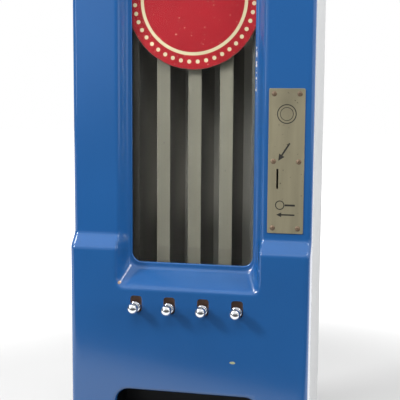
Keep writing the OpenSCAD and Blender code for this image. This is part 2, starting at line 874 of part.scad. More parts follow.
module coin_lever() {
  pan_w = 7;
  pan_t = 1.2;
  pan_h = 3;
  pan_rise = 2;
  pan_z = trip_z + pan_rise;
  weight_w = 8;
  weight_l = 12;
  weight_h = 10;
  weight_reach = 26;
  weight_p = trip_p - weight_reach;
  arm_h = 4;
  color(brass) {
    trip_arm(coin_x, hub_t)
      translate([weight_p, trip_z - arm_h / 2]) difference() {
        square([pan_p + pan_l - weight_p, arm_h]);
        translate([pan_p - weight_p, pan_z + pan_t / 2 - trip_z + arm_h / 2]) square([pan_l + over, arm_h]);
      }
    block(coin_x - weight_w / 2, weight_p - weight_l / 2, trip_z - weight_h / 2,
      [weight_w, weight_l, weight_h]);
    block(coin_x - pan_w / 2, pan_p, pan_z, [pan_w, pan_l, pan_t]);
    for (x = [coin_x - pan_w / 2, coin_x + pan_w / 2 - pan_t])
      block(x, pan_p, pan_z, [pan_t, pan_l, pan_h]);
  }
}

// Coin track in side view: a sloping runway from the slot, then a drop over the lever's pan
mouth_gap = 1.8;
mouth_p = panel_back + sheet + mouth_gap;
runway_fall = 0.4;
runway_rise = track_w * sqrt(1 + runway_fall * runway_fall);
track_rise = 14;
track_z = trip_z + track_rise;
mouth_z = coin_z - runway_rise / 2;

// Side view of the track, grown outward by a wall
module track_outline(wall, ends) {
  function floor_z(p) = mouth_z - wall - runway_fall * (p - mouth_p);
  turn = track_w / 2;
  front = track_p - wall;
  rear = track_p + track_w + wall;
  polygon([
    [mouth_p - ends, floor_z(mouth_p - ends)],
    [front, floor_z(front)],
    [front, track_z - ends],
    [rear, track_z - ends],
    [rear, floor_z(rear) + turn + 2 * wall],
    [rear - turn, floor_z(rear - turn) + runway_rise + 2 * wall],
    [mouth_p - ends, floor_z(mouth_p - ends) + runway_rise + 2 * wall]
  ]);
}

module coin_chute() {
  foot_low = 14;
  foot_high = 58;
  foot_h = 14;
  foot_w = 11;
  left = coin_x - track_t / 2 - cheek_t;
  color(steel) {
    from_side(left, cheek_t) track_outline(rail_t, 0);
    from_side(left, cheek_t + track_t) difference() {
      track_outline(rail_t, 0);
      track_outline(0, over);
    }
    for (z = [foot_low, foot_high]) {
      block(left, track_p + track_w, track_z + z, [cheek_t, wall_p - track_p - track_w, foot_h]);
      block(left, wall_p - cheek_t, track_z + z, [foot_w, cheek_t, foot_h]);
    }
  }
}

module coin_chute_cover() {
  color(steel) from_side(coin_x + track_t / 2, cheek_t) track_outline(rail_t, 0);
}

module cash_box() {
  left_gap = 6;
  fore = 20;
  end_gap = 3;
  high = 116;
  left = mech_x + left_gap;
  right = cab_w / 2 - foot_r - gap;
  start_p = trip_p - fore;
  size = [right - left, wall_p - end_gap - start_p, high];
  color(pale) difference() {
    block(left, start_p, joggle_in, size);
    block(left + inner_t, start_p + inner_t, joggle_in + inner_t, size - [2 * inner_t, 2 * inner_t, 0]);
  }
}

chute_p = shelf_p + gap;

module delivery_chute() {
  half = mech_x - gap;
  top = shelf_top - shelf_skirt - shelf_t - gap;
  wing_p = 12;
  color(dark) {
    block(-half, chute_p, tray_top, [2 * half, inner_t, top - tray_top]);
    for (x = [-half, half - inner_t])
      block(x, wing_p, tray_top, [inner_t, chute_p - wing_p + bite, top - tray_top]);
  }
}

module delivery_tray() {
  side_gap = 3;
  lip_gap = 2.5;
  floor_drop = 4;
  leg_in = 3;
  rise = 16;
  scoop_r = 12;
  half = mech_x + side_gap;
  floor_p = lip_r + lip_d + lip_gap;
  floor_z = tray_z - floor_drop;
  back = chute_p + inner_t + gap;
  leg_p = rim_d + leg_in;
  high = tray_top + rise;
  color(dark) {
    from_side(-half, 2 * half) difference() {
      union() {
        translate([floor_p, floor_z - inner_t]) square([back - scoop_r - floor_p, inner_t]);
        translate([back, floor_z + scoop_r]) square([inner_t, high - floor_z - scoop_r]);
        intersection() {
          translate([back - scoop_r, floor_z + scoop_r]) circle(scoop_r + inner_t);
          translate([back - scoop_r, floor_z - inner_t]) square(scoop_r + inner_t);
        }
      }
      translate([back - scoop_r, floor_z + scoop_r]) circle(scoop_r);
    }
    for (x = [-half - inner_t, half]) {
      block(x, floor_p, floor_z - inner_t, [inner_t, back + inner_t - floor_p, high - floor_z + inner_t]);
      block(x, leg_p, case_t, [inner_t, back + inner_t - leg_p, floor_z - case_t]);
    }
  }
}

knob_collar_p = -4.5;
knob_collar_l = 9.5;
socket_l = 6.5;
socket_gap = 0.2;
rod_over = 0.5;
rod_start_p = knob_collar_p + knob_collar_l - socket_l + socket_gap;

module plunger_rod(i) {
  color(chrome) rod_y(plunger_xs[i], rod_start_p, rod_z, rod_d / 2, tab_p + tab_t + rod_over - rod_start_p);
}

module knob(i) {
  neck_t = 0.7;
  neck_r = rod_d / 2 + neck_t;
  collar_r = 5;
  color(chrome) difference() {
    union() {
      translate([plunger_xs[i], front_y - knob_reach, rod_z]) sphere(knob_d / 2);
      rod_y(plunger_xs[i], -knob_reach, rod_z, neck_r, knob_reach + knob_collar_p + bite);
      rod_y(plunger_xs[i], knob_collar_p, rod_z, collar_r, knob_collar_l);
    }
    rod_y(plunger_xs[i], knob_collar_p + knob_collar_l - socket_l, rod_z, rod_d / 2 + run_gap,
      socket_l + over);
  }
}

module ejector_slide(i) {
  x = plunger_xs[i];
  color(brass) difference() {
    union() {
      block(x - block_w / 2, block_p, rod_z - block_drop,
        [block_w, block_l, block_drop + shelf_clear - gap]);
      block(x - tab_w / 2, tab_p, rod_z, [tab_w, tab_t, shelf_clear + shelf_t + tab_h]);
    }
    rod_y(x, block_p - over, rod_z, rod_d / 2 + run_gap, block_l + 2 * over);
  }
}

// Return spring: one tube wound round the rod between bush and slide
spring_rings = 8;
spring_sides = 6;
spring_seat = 0.3;
spring_p = bush_end_p + wire_d / 2 + spring_seat;
spring_l = block_p - bush_end_p - wire_d - 2 * spring_seat;

function spring_at(x, turn) =
  [
    x + spring_d / 2 * cos(360 * turn),
    front_y + spring_p + spring_l * turn / spring_turns,
    rod_z + spring_d / 2 * sin(360 * turn)
  ];

module return_spring(i) {
  last = spring_turns * spring_rings;
  x = plunger_xs[i];
  points = [
    for (k = [0:last]) let (c = spring_at(x, k / spring_rings), a = 360 * k / spring_rings)
      for (s = [0:spring_sides - 1]) let (b = 360 * s / spring_sides)
        c + wire_d / 2 * [cos(b) * cos(a), sin(b), cos(b) * sin(a)]
  ];
  walls = [
    for (k = [0:last - 1]) for (s = [0:spring_sides - 1])
      let (
        a = k * spring_sides + s,
        b = k * spring_sides + (s + 1) % spring_sides,
        c = b + spring_sides,
        d = a + spring_sides
      )
      for (t = [[a, b, c], [a, c, d]]) t
  ];
  ends = [
    for (s = [1:spring_sides - 2]) for (t = [
      [0, s + 1, s],
      [last * spring_sides, last * spring_sides + s, last * spring_sides + s + 1]
    ]) t
  ];
  color(steel) polyhedron(points, concat(walls, ends));
}

// Least gap of a spring to its own next turn, measured on its points
spring_gap = min([
  for (k = [0:spring_rings]) for (m = [spring_rings / 2:spring_rings * 3 / 2])
    norm(spring_at(0, k / spring_rings) - spring_at(0, (k + m) / spring_rings)) - wire_d
]);
echo(str("least gap between spring turns: ", spring_gap, " mm"));

case_shell();
back_pan();
front_cover();
window_glass();
sign_disc();
glass_channel(-1);  // glass_channel_left
glass_channel(1);  // glass_channel_right
glass_channel_foot();
coin_plate();
coin_plate_screws();
lock_barrel();
lock_nut();
lock_cam();
lock_cam_screw();
hinge_rod();
hinge_brackets();
hinge_lugs();
column_back();
divider(0);  // column_end_left
divider(1);  // column_divider_1
divider(2);  // column_divider_2
divider(3);  // column_divider_3
divider(4);  // column_end_right
magazine_spacers();
shelf();
plunger_bushes();
mechanism_side(-1);  // mechanism_side_left
mechanism_side(1);  // mechanism_side_right
trip_shaft();
trip_pawls();
coin_lever();
coin_chute();
coin_chute_cover();
cash_box();
delivery_chute();
delivery_tray();
for (i = [0:3]) {
  plunger_rod(i);
  knob(i);
  ejector_slide(i);
  return_spring(i);
}
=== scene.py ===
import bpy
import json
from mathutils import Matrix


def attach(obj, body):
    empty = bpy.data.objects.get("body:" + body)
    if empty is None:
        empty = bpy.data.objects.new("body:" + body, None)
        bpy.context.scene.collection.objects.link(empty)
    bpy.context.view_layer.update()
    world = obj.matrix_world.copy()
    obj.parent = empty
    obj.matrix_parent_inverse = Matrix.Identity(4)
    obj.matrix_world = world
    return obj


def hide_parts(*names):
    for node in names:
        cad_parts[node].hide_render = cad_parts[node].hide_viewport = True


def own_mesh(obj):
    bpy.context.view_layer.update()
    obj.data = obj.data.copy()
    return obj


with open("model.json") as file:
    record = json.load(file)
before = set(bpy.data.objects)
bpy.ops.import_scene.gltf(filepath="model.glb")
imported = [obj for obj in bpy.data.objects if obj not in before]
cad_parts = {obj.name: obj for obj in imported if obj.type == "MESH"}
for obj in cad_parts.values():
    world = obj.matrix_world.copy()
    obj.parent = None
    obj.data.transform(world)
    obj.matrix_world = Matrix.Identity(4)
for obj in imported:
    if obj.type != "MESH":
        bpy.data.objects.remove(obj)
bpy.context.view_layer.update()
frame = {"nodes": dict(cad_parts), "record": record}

import json
import math

import bpy
import numpy as np
from mathutils import Matrix, Vector
from mathutils.geometry import delaunay_2d_cdt

MM = 0.001
scene = bpy.context.scene
scene.view_settings.view_transform = "Standard"

# Sizes of the part in millimetres, as its source has them; depths run back from the lower front plane
FRONT_Y = -64.0
CAB_W, CAB_H = 246.1, 628.0
SHEET, EDGE_R, CORNER_R, FOOT_R, BEND_R, LEDGE_R = 1.2, 6.0, 20.0, 10.0, 3.0, 4.0
PANEL_BACK, FRAME_BACK, RIM_D = 12.0, 24.0, 24.0
WIN_W, WIN_H, WIN_R, WIN_Z = 126.5, 344.0, 10.0, 222.0
WIN_LIP_R, WIN_LIP_D = 1.5, 0.5
JAMB_W, JAMB_FOOT, ALCOVE_X, ALCOVE_R, ALCOVE_EDGE_R = 148.7, 67.05, 73.05, 14.0, 7.0
SILL_Z, SILL_H, HEAD_Z, HEAD_H = 199.0, 17.0, 588.0, 16.0
LEDGE_Z, LEDGE_H = 239.0, 12.0
TRAY_W, TRAY_H, TRAY_R, TRAY_Z, LIP_R, LIP_D = 150.0, 50.0, 15.0, 42.0, 3.5, 3.0
ROD_Z, PLUNGER_XS = 180.5, (-52.05, -17.35, 17.35, 52.05)
SLOT_W, SLOT_UP, SLOT_DOWN, SLOT_R = 11.8, 10.6, 6.0, 3.0
PLATE_X, PLATE_Z, PLATE_W, PLATE_H, PLATE_T, PLATE_R = 96.85, 259.0, 35.3, 141.7, 1.0, 1.4
PLATE_FRONT = PANEL_BACK - PLATE_T
COIN_X, COIN_Z, COIN_W, COIN_H, COIN_R = 88.55, 312.8, 1.97, 19.5, 0.1
SCREW_IN, SCREW_R = 5.2, 1.5
LOCK_Z, LOCK_R = 605.0, 8.1
HINGE_P, HINGE_Z, NOTCH_X, NOTCH_HALF = 6.0, 7.0, 88.05, 3.5
RELIEF_P = HINGE_P + math.sqrt((RIM_D - HINGE_P) ** 2 - HINGE_Z ** 2)
SIGN_Z, SIGN_R, SIGN_P = 488.0, 69.0, 28.4
SPRING_P, SPRING_END, SPRING_R, WIRE_R, TURNS = 56.3, 103.7, 4.3, 0.45, 9
SKIRT_P = 44.0

# Distances that count as none, in millimetres
TINY, ON_EDGE = 1e-6, 1e-3


# Small helpers for meshes
def metres(points):
    """Points in metres in the part's frame, from x, depth and z in millimetres."""
    pts = np.asarray(points, float).copy()
    pts[:, 1] += FRONT_Y
    return pts * MM


def piece(name, form, body, mats, sharp, nodes=(), face_mats=None):
    """One visible piece from (points, faces), smooth up to the sharp angle, with one material or several."""
    points, faces = form
    mesh = bpy.data.meshes.new(name)
    mesh.from_pydata(metres(points).tolist(), [], [tuple(int(i) for i in f) for f in faces])
    for mat in mats if isinstance(mats, list) else [mats]:
        mesh.materials.append(mat)
    mesh.validate()
    mesh.update()
    mesh.polygons.foreach_set("use_smooth", [True] * len(mesh.polygons))
    mesh.set_sharp_from_angle(angle=math.radians(sharp))
    if face_mats is not None:
        mesh.polygons.foreach_set("material_index", face_mats)
    obj = bpy.data.objects.new(name, mesh)
    scene.collection.objects.link(obj)
    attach(obj, body)
    if nodes:
        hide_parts(*nodes)
    return obj


def corner(cx, cz, r, start, n):
    """A quarter circle from an angle in degrees, anticlockwise."""
    turns = [math.radians(start + 90 * k / n) for k in range(n + 1)]
    return [(cx + r * math.cos(a), cz + r * math.sin(a)) for a in turns]


def rounded_rect(cx, cz, w, h, r, n):
    pts = []
    for sx, sz, start in ((1, 1, 0), (-1, 1, 90), (-1, -1, 180), (1, -1, 270)):
        pts += corner(cx + sx * (w / 2 - r), cz + sz * (h / 2 - r), r, start, n)
    return pts


def circle(cx, cz, r, n=24):
    turns = [2 * math.pi * k / n for k in range(n)]
    return [(cx + r * math.cos(a), cz + r * math.sin(a)) for a in turns]


def divided(loop, step):
    """The same closed outline with points added on its long straight runs."""
    out = []
    for a, b in zip(loop, loop[1:] + loop[:1]):
        n = max(1, int(math.dist(a, b) / step))
        out += [(a[0] + (b[0] - a[0]) * k / n, a[1] + (b[1] - a[1]) * k / n) for k in range(n)]
    return out


def graded(*runs):
    """Places along a line from (start, stop, step) runs."""
    out = []
    for start, stop, step in runs:
        n = max(1, round((stop - start) / step))
        out += [start + (stop - start) * k / n for k in range(n)]
    return out + [runs[-1][1]]


def inside(loop, pts):
    """Which of the points lie inside a closed outline."""
    hit = np.zeros(len(pts), bool)
    x, z = pts[:, 0], pts[:, 1]
    for (ax, az), (bx, bz) in zip(loop, loop[1:] + loop[:1]):
        if az == bz:
            continue
        cross = (az > z) != (bz > z)
        hit ^= cross & (x < (bx - ax) * (z - az) / (bz - az) + ax)
    return hit


def near(loop, pts):
    """Distance of each point from a closed outline."""
    best = np.full(len(pts), np.inf)
    for a, b in zip(loop, loop[1:] + loop[:1]):
        a, b = np.array(a), np.array(b)
        d = b - a
        t = np.clip(((pts - a) @ d) / max(d @ d, TINY ** 2), 0, 1)
        best = np.minimum(best, np.hypot(*(pts - a - t[:, None] * d).T))
    return best


def triangulate(outer, holes, extra=()):
    """Triangles between an outline and its holes: (points, triangles, anticlockwise)."""
    pts, edges = [], []
    for loop in [outer] + holes:
        start = len(pts)
        pts += loop
        edges += [(start + k, start + (k + 1) % len(loop)) for k in range(len(loop))]
    pts += [tuple(p) for p in extra]
    got = delaunay_2d_cdt([Vector(p) for p in pts], edges, [], 0, TINY)
    v = np.array([(p[0], p[1]) for p in got[0]])
    tri = np.array([f for f in got[2] if len(f) == 3])
    mid = v[tri].mean(axis=1)
    keep = inside(outer, mid)
    for loop in holes:
        keep &= ~inside(loop, mid)
    tri = tri[keep]
    a, b, c = v[tri[:, 0]], v[tri[:, 1]], v[tri[:, 2]]
    flip = (b[:, 0] - a[:, 0]) * (c[:, 1] - a[:, 1]) < (b[:, 1] - a[:, 1]) * (c[:, 0] - a[:, 0])
    tri[flip] = tri[flip][:, ::-1]
    return v, [tuple(t) for t in tri.tolist()]


def open_edges(faces):
    """Edges with one face, in that face's direction."""
    edges = [e for f in faces for e in zip(f, f[1:] + f[:1])]
    have = set(edges)
    return [(a, b) for a, b in edges if (b, a) not in have]


def edges_on(outline, v, edges):
    """Those of the edges that lie on one outline."""
    ids = sorted({i for e in edges for i in e})
    on = {i for i, d in zip(ids, near(outline, v[ids])) if d < ON_EDGE}
    return [(a, b) for a, b in edges if a in on and b in on]


def used_only(pts, faces):
    """The same mesh without points that no face uses."""
    used = sorted({i for f in faces for i in f})
    index = {old: new for new, old in enumerate(used)}
    return np.asarray(pts)[used], [tuple(index[i] for i in f) for f in faces]


def slab(outer, holes, p0, p1, chamfer=0.0):
    """A flat plate from depth p0 back to p1, with an optional chamfer round its front."""
    v, tri = triangulate(outer, holes)
    n = len(v)
    front = np.column_stack([v[:, 0], np.full(n, p0), v[:, 1]])
    back = front + [0, p1 - p0, 0]
    side = front + [0, chamfer, 0]
    edges = open_edges(tri)
    rim = sorted({i for e in edges_on(outer, v, edges) for i in e})
    outward = np.sign(v[rim] - v.mean(axis=0))
    front[rim, 0] -= outward[:, 0] * chamfer
    front[rim, 2] -= outward[:, 1] * chamfer
    faces = tri + [tuple(i + 2 * n for i in t[::-1]) for t in tri]
    for a, b in edges:
        if chamfer:
            faces += [(b, a, a + n, b + n), (b + n, a + n, a + 2 * n, b + 2 * n)]
        else:
            faces.append((b, a, a + 2 * n, b + 2 * n))
    return used_only(np.vstack([front, side, back]), faces)


def lathe(x, z, profile, sides):
    """A turned shape about the depth axis at x, z, from (radius, depth) points, front to back."""
    pts, faces, rings = [], [], []
    for r, p in profile:
        if r < TINY:
            rings.append([len(pts)] * sides)
            pts.append((x, p, z))
            continue
        rings.append(list(range(len(pts), len(pts) + sides)))
        pts += [(px, p, pz) for px, pz in circle(x, z, r, sides)]
    for low, high in zip(rings, rings[1:]):
        for k in range(sides):
            f = [low[(k + 1) % sides], low[k], high[k], high[(k + 1) % sides]]
            f = [i for j, i in enumerate(f) if i not in f[:j]]
            if len(f) > 2:
                faces.append(f)
    return pts, faces


def arc(cr, cp, r, start, end, n):
    """Points of a round in a turned profile: radius and depth, by angle from straight ahead."""
    turns = [math.radians(start + (end - start) * k / n) for k in range(n + 1)]
    return [(cr + r * math.sin(a), cp - r * math.cos(a)) for a in turns]


def joined(forms):
    """Several closed forms as one mesh."""
    pts, faces = [], []
    for form_pts, form_faces in forms:
        faces += [tuple(i + len(pts) for i in f) for f in form_faces]
        pts += list(form_pts)
    return pts, faces


# Small helpers for materials; the colour sockets of a Mix node go by number
MIX_A, MIX_B, MIX_OUT = 6, 7, 2


def lin(rgb):
    """A colour of 0 to 255 as a shader takes it."""
    c = np.asarray(rgb, float) / 255.0
    out = np.where(c <= 0.04045, c / 12.92, ((c + 0.055) / 1.055) ** 2.4)
    return (*out.tolist(), 1.0)


def tint(rgb, k):
    return tuple(min(255.0, c * k) for c in rgb)


class Nodes:
    """Short calls that add nodes to one tree."""

    def __init__(self, tree, coords):
        self.nt = tree
        self.co = self.add("TexCoord").outputs[coords]

    def add(self, kind):
        return self.nt.nodes.new("ShaderNode" + kind)

    def link(self, a, b):
        self.nt.links.new(a, b)

    def feed(self, socket, value):
        """Gives a socket a number, a colour of 0 to 255, a shader's own colour or another node's output."""
        if isinstance(value, (int, float)):
            socket.default_value = value
        elif isinstance(value, tuple):
            socket.default_value = value if len(value) == 4 else lin(value)
        else:
            self.link(value, socket)

    def math(self, op, a, b=None):
        n = self.add("Math")
        n.operation = op
        self.feed(n.inputs[0], a)
        if b is not None:
            self.feed(n.inputs[1], b)
        return n.outputs["Value"]

    def plus(self, a, b):
        return self.math("ADD", a, b)

    def minus(self, a, b):
        return self.math("SUBTRACT", a, b)

    def times(self, a, b):
        return self.math("MULTIPLY", a, b)

    def most(self, first, *others):
        for value in others:
            first = self.math("MAXIMUM", first, value)
        return first

    def length(self, a, b):
        return self.math("SQRT", self.plus(self.times(a, a), self.times(b, b)))

    def ranged(self, value, low, high, source=(0.0, 1.0), kind="LINEAR"):
        """A value that runs over source, as one from low to high."""
        n = self.add("MapRange")
        n.interpolation_type = kind
        for name, v in zip(("From Min", "From Max", "To Min", "To Max"), (*source, low, high)):
            n.inputs[name].default_value = v
        self.link(value, n.inputs["Value"])
        return n.outputs["Result"]

    def step(self, value, low, high, below=0.0, above=1.0):
        """A soft step between two values."""
        return self.ranged(value, below, above, (low, high), "SMOOTHSTEP")

    def fall(self, value, low, high):
        """1 below a value, fading to 0 above it."""
        return self.minus(1.0, self.step(value, low, high))

    def mix(self, fac, a, b):
        n = self.add("Mix")
        n.data_type = "RGBA"
        self.link(fac, n.inputs["Factor"])
        self.feed(n.inputs[MIX_A], a)
        self.feed(n.inputs[MIX_B], b)
        return n.outputs[MIX_OUT]

    def apart(self, which):
        n = self.add("SeparateXYZ")
        self.link(self.co, n.inputs["Vector"])
        return n.outputs[which]

    def blob(self, place, low, high):
        """1 near a place, fading to 0 between two distances."""
        n = self.add("VectorMath")
        n.operation = "DISTANCE"
        n.inputs[1].default_value = place
        self.link(self.co, n.inputs[0])
        return self.step(n.outputs["Value"], low, high, 1.0, 0.0)

    def rays(self):
        """1 for rays from the camera or off metal and glass; then for gloss, soft light and camera apart."""
        kinds = self.add("LightPath").outputs
        seen = self.most(*[kinds["Is %s Ray" % k] for k in ("Camera", "Glossy", "Transmission")])
        direct = self.math("LESS_THAN", kinds["Diffuse Depth"], 0.5)
        return [self.times(seen, direct)] + [kinds["Is %s Ray" % k] for k in ("Glossy", "Diffuse", "Camera")]


class Shade(Nodes):
    """One procedural material: a Principled shader and the nodes in front of it."""

    def __init__(self, name, rough, metallic=0.0, coat=0.0, coat_rough=0.05, specular=0.5):
        self.mat = bpy.data.materials.new(name)
        self.mat.use_nodes = True
        super().__init__(self.mat.node_tree, "Object")
        self.bsdf = self.nt.nodes["Principled BSDF"]
        self.set("Roughness", rough)
        self.set("Metallic", metallic)
        self.set("Coat Weight", coat)
        self.set("Coat Roughness", coat_rough)
        self.set("Specular IOR Level", specular)

    def set(self, name, value):
        self.bsdf.inputs[name].default_value = value

    def noise(self, scale, detail=4.0, rough=0.55, grain=None):
        """Noise by the metre, drawn out along the axes where grain is small."""
        n = self.add("TexNoise")
        for name, v in (("Scale", scale), ("Detail", detail), ("Roughness", rough)):
            n.inputs[name].default_value = v
        vec = self.co
        if grain:
            mapping = self.add("Mapping")
            mapping.inputs["Scale"].default_value = grain
            self.link(self.co, mapping.inputs["Vector"])
            vec = mapping.outputs["Vector"]
        self.link(vec, n.inputs["Vector"])
        return n.outputs["Fac"]

    def specks(self, scale, low=0.70, high=0.76):
        return self.step(self.noise(scale, 2.0), low, high)

    def spot(self, x, z, rx, rz):
        """1 at a place on the front, in millimetres, fading to 0 at its radii."""
        dx = self.math("DIVIDE", self.minus(self.apart("X"), x * MM), rx * MM)
        dz = self.math("DIVIDE", self.minus(self.apart("Z"), z * MM), rz * MM)
        d = self.plus(self.times(dx, dx), self.times(dz, dz))
        return self.minus(1.0, self.math("MINIMUM", d, 1.0))

    def colour(self, socket):
        self.link(socket, self.bsdf.inputs["Base Color"])

    def rough(self, socket):
        self.link(socket, self.bsdf.inputs["Roughness"])

    def bump(self, height, strength, distance=0.0004):
        n = self.add("Bump")
        n.inputs["Strength"].default_value = strength
        n.inputs["Distance"].default_value = distance
        self.link(height, n.inputs["Height"])
        self.link(n.outputs["Normal"], self.bsdf.inputs["Normal"])

    def surface(self, shader):
        self.link(shader, self.nt.nodes["Material Output"].inputs["Surface"])


def metal(name, rgb, rough, metallic, scale, spread, bump, grain=(1, 1, 1), dirt=None):
    """Metal with a grain that may run one way, uneven polish and optional dark specks."""
    s = Shade(name, rough, metallic)
    g = s.noise(scale, 6.0, 0.6, grain)
    base = s.mix(g, tint(rgb, 1 - spread), tint(rgb, 1 + spread))
    cloud = s.noise(14.0, 3.0)
    base = s.mix(s.step(cloud, 0.5, 0.75), base, tint(rgb, 1 - 1.6 * spread))
    if dirt:
        base = s.mix(s.specks(420.0), base, dirt)
    s.colour(base)
    s.rough(s.ranged(g, rough * 0.8, rough * 1.25))
    s.bump(s.noise(scale * 6, 3.0, 0.6, grain), bump)
    return s.mat


# Places on the column sheets, in metres
STRIP_BACK_Y, WALL_SHADE_Y = -0.0267, 0.045
BAND_TOP, STRIP_SHADE, WALL_FOOT_SHADE = (0.2365, 0.2375), (0.22, 0.36), (0.24, 0.285)


def column_sheet(name, strip, wall):
    """Strip with grain and dark specks, a darker band near its foot and painted shade lower down; the walls
    behind it are painted lighter than the strip to lift the shaded inside, with painted shade near their
    front edge and towards their foot.
    """
    grain = (1, 1, 0.06)
    s = Shade(name, 0.5, 0.25)
    g = s.noise(90.0, 6.0, 0.6, grain)
    y, z = s.apart("Y"), s.apart("Z")
    front = s.mix(g, tint(strip, 0.94), tint(strip, 1.06))
    front = s.mix(s.specks(420.0), front, tint(strip, 0.55))
    # the strip darker in a narrow band near its foot
    front = s.mix(s.times(s.fall(z, *BAND_TOP), 0.6), front, tint(strip, 0.78))
    # painted shade: the strip darker lower down
    front = s.mix(s.times(s.fall(z, *STRIP_SHADE), 0.5), front, tint(strip, 0.8))
    deep = s.mix(g, tint(wall, 0.93), tint(wall, 1.05))
    # painted shade: the walls darker near the front of the columns, where the strips shade them
    deep = s.mix(s.fall(y, STRIP_BACK_Y, WALL_SHADE_Y), deep, tint(wall, 0.5))
    # painted shade: the walls darker towards their foot
    deep = s.mix(s.times(s.fall(z, *WALL_FOOT_SHADE), 0.6), deep, tint(wall, 0.5))
    inward = s.step(y, STRIP_BACK_Y, STRIP_BACK_Y + MM)
    s.colour(s.mix(inward, front, deep))
    s.rough(s.ranged(g, 0.42, 0.6))
    s.bump(s.noise(540.0, 3.0, 0.6, grain), 0.05)
    return s.mat


# Blue enamel: each chip has a middle in x and z, two radii and a colour; the worn edge has a place and a size
BLUE, WORN = (28, 84, 143), (206, 207, 206)
CHIPS = [
    (48.0, 128.0, 4.2, 1.9, (160, 164, 134)),
    (-70.4, 203.4, 2.2, 2.2, (150, 124, 106)),
]
WEAR_X, WEAR_Z, WEAR_W, WEAR_H, WEAR_MOST = 64.6, 420.0, 1.5, 55.0, 0.6


def enamel():
    """Clouded enamel with fine specks, chips, and small flakes where the wear attribute is high."""
    s = Shade("blue_enamel", 0.16, 0.0, 0.35, 0.06)
    base = s.mix(s.noise(7.0, 3.0), tint(BLUE, 0.93), tint(BLUE, 1.06))
    base = s.mix(s.specks(900.0, 0.68, 0.74), base, tint(BLUE, 0.86))
    wear = s.add("Attribute")
    wear.attribute_name = "wear"
    rag = s.noise(330.0, 5.0, 0.7)
    flakes = s.step(s.plus(wear.outputs["Fac"], s.times(rag, 0.9)), 1.02, 1.06)
    base = s.mix(flakes, base, WORN)
    for x, z, rx, rz, rgb in CHIPS:
        bare = s.step(s.plus(s.spot(x, z, rx, rz), s.times(rag, 0.8)), 0.86, 0.92)
        base = s.mix(bare, base, rgb)
    s.colour(base)
    s.rough(s.ranged(s.noise(30.0, 3.0), 0.12, 0.22))
    s.bump(s.noise(260.0, 2.0), 0.05)
    return s.mat


def paint(name, rgb, rough, grime=(90, 84, 74), amount=0.75, specular=0.5):
    """Flat paint with fine specks and streaks of grime above an amount of noise."""
    s = Shade(name, rough, coat_rough=0.15, specular=specular)
    base = s.mix(s.noise(9.0, 3.0), tint(rgb, 0.96), tint(rgb, 1.03))
    base = s.mix(s.specks(700.0), base, tint(rgb, 0.84))
    streak = s.noise(40.0, 5.0, 0.65, (1, 1, 0.12))
    base = s.mix(s.times(s.step(streak, amount - 0.12, amount + 0.1), 0.35), base, grime)
    s.colour(base)
    s.rough(s.ranged(s.noise(25.0, 3.0), rough * 0.85, rough * 1.2))
    s.bump(s.noise(420.0, 2.0), 0.06, 0.0003)
    return s.mat


# The sign's pattern, in millimetres from its middle
SIGN_RED, SIGN_CREAM, SIGN_TIN, SIGN_RUST = (140, 22, 31), (188, 179, 146), (176, 160, 132), (96, 62, 54)
RING_IN, RING_OUT, RING_SOFT = 51.6, 54.8, 0.2
BEADS, BEAD_AT, BEAD_R, BEAD_SOFT = 44, 61.0, 2.05, 0.15


def sign_paint():
    """Red tin with a plain cream ring inside a row of beads, worn through in small specks."""
    s = Shade("red_enamel", 0.4, coat_rough=0.15, specular=0.2)
    x = s.times(s.apart("X"), 1 / MM)
    z = s.minus(s.times(s.apart("Z"), 1 / MM), SIGN_Z)
    r = s.length(x, z)
    ring = s.times(s.step(r, RING_IN - RING_SOFT, RING_IN + RING_SOFT),
                   s.fall(r, RING_OUT - RING_SOFT, RING_OUT + RING_SOFT))
    angle = s.times(s.math("ARCTAN2", z, x), BEADS / (2 * math.pi))
    along = s.times(s.minus(s.math("FRACT", angle), 0.5), 2 * math.pi * BEAD_AT / BEADS)
    bead = s.length(along, s.minus(r, BEAD_AT))
    mark = s.most(ring, s.fall(bead, BEAD_R - BEAD_SOFT, BEAD_R + BEAD_SOFT))
    cloud = s.noise(30.0, 4.0)
    red = s.mix(cloud, tint(SIGN_RED, 0.9), tint(SIGN_RED, 1.06))
    cream = s.mix(cloud, tint(SIGN_CREAM, 0.93), tint(SIGN_CREAM, 1.04))
    base = s.mix(mark, red, cream)
    base = s.mix(s.step(s.noise(300.0, 4.0, 0.7), 0.66, 0.70), base, SIGN_TIN)
    edge = s.step(s.plus(r, s.times(s.noise(240.0, 4.0), 3.0)), SIGN_R + 0.2, SIGN_R + 1.4)
    s.colour(s.mix(edge, base, SIGN_RUST))
    s.rough(s.ranged(cloud, 0.28, 0.42))
    s.bump(s.noise(500.0, 2.0), 0.05, 0.0003)
    return s.mat


def window():
    """Clear glass with a little dust; light from the lamps passes."""
    s = Shade("window_glass", 0.03)
    s.set("Base Color", (0.94, 0.97, 0.96, 1.0))
    s.set("Transmission Weight", 1.0)
    s.set("IOR", 1.18)
    s.rough(s.ranged(s.step(s.noise(60.0, 5.0, 0.7), 0.55, 0.8), 0.0, 0.06))
    swap = s.add("MixShader")
    s.link(s.add("LightPath").outputs["Is Shadow Ray"], swap.inputs["Fac"])
    s.link(s.bsdf.outputs["BSDF"], swap.inputs[1])
    s.link(s.add("BsdfTransparent").outputs["BSDF"], swap.inputs[2])
    s.surface(swap.outputs["Shader"])
    return s.mat


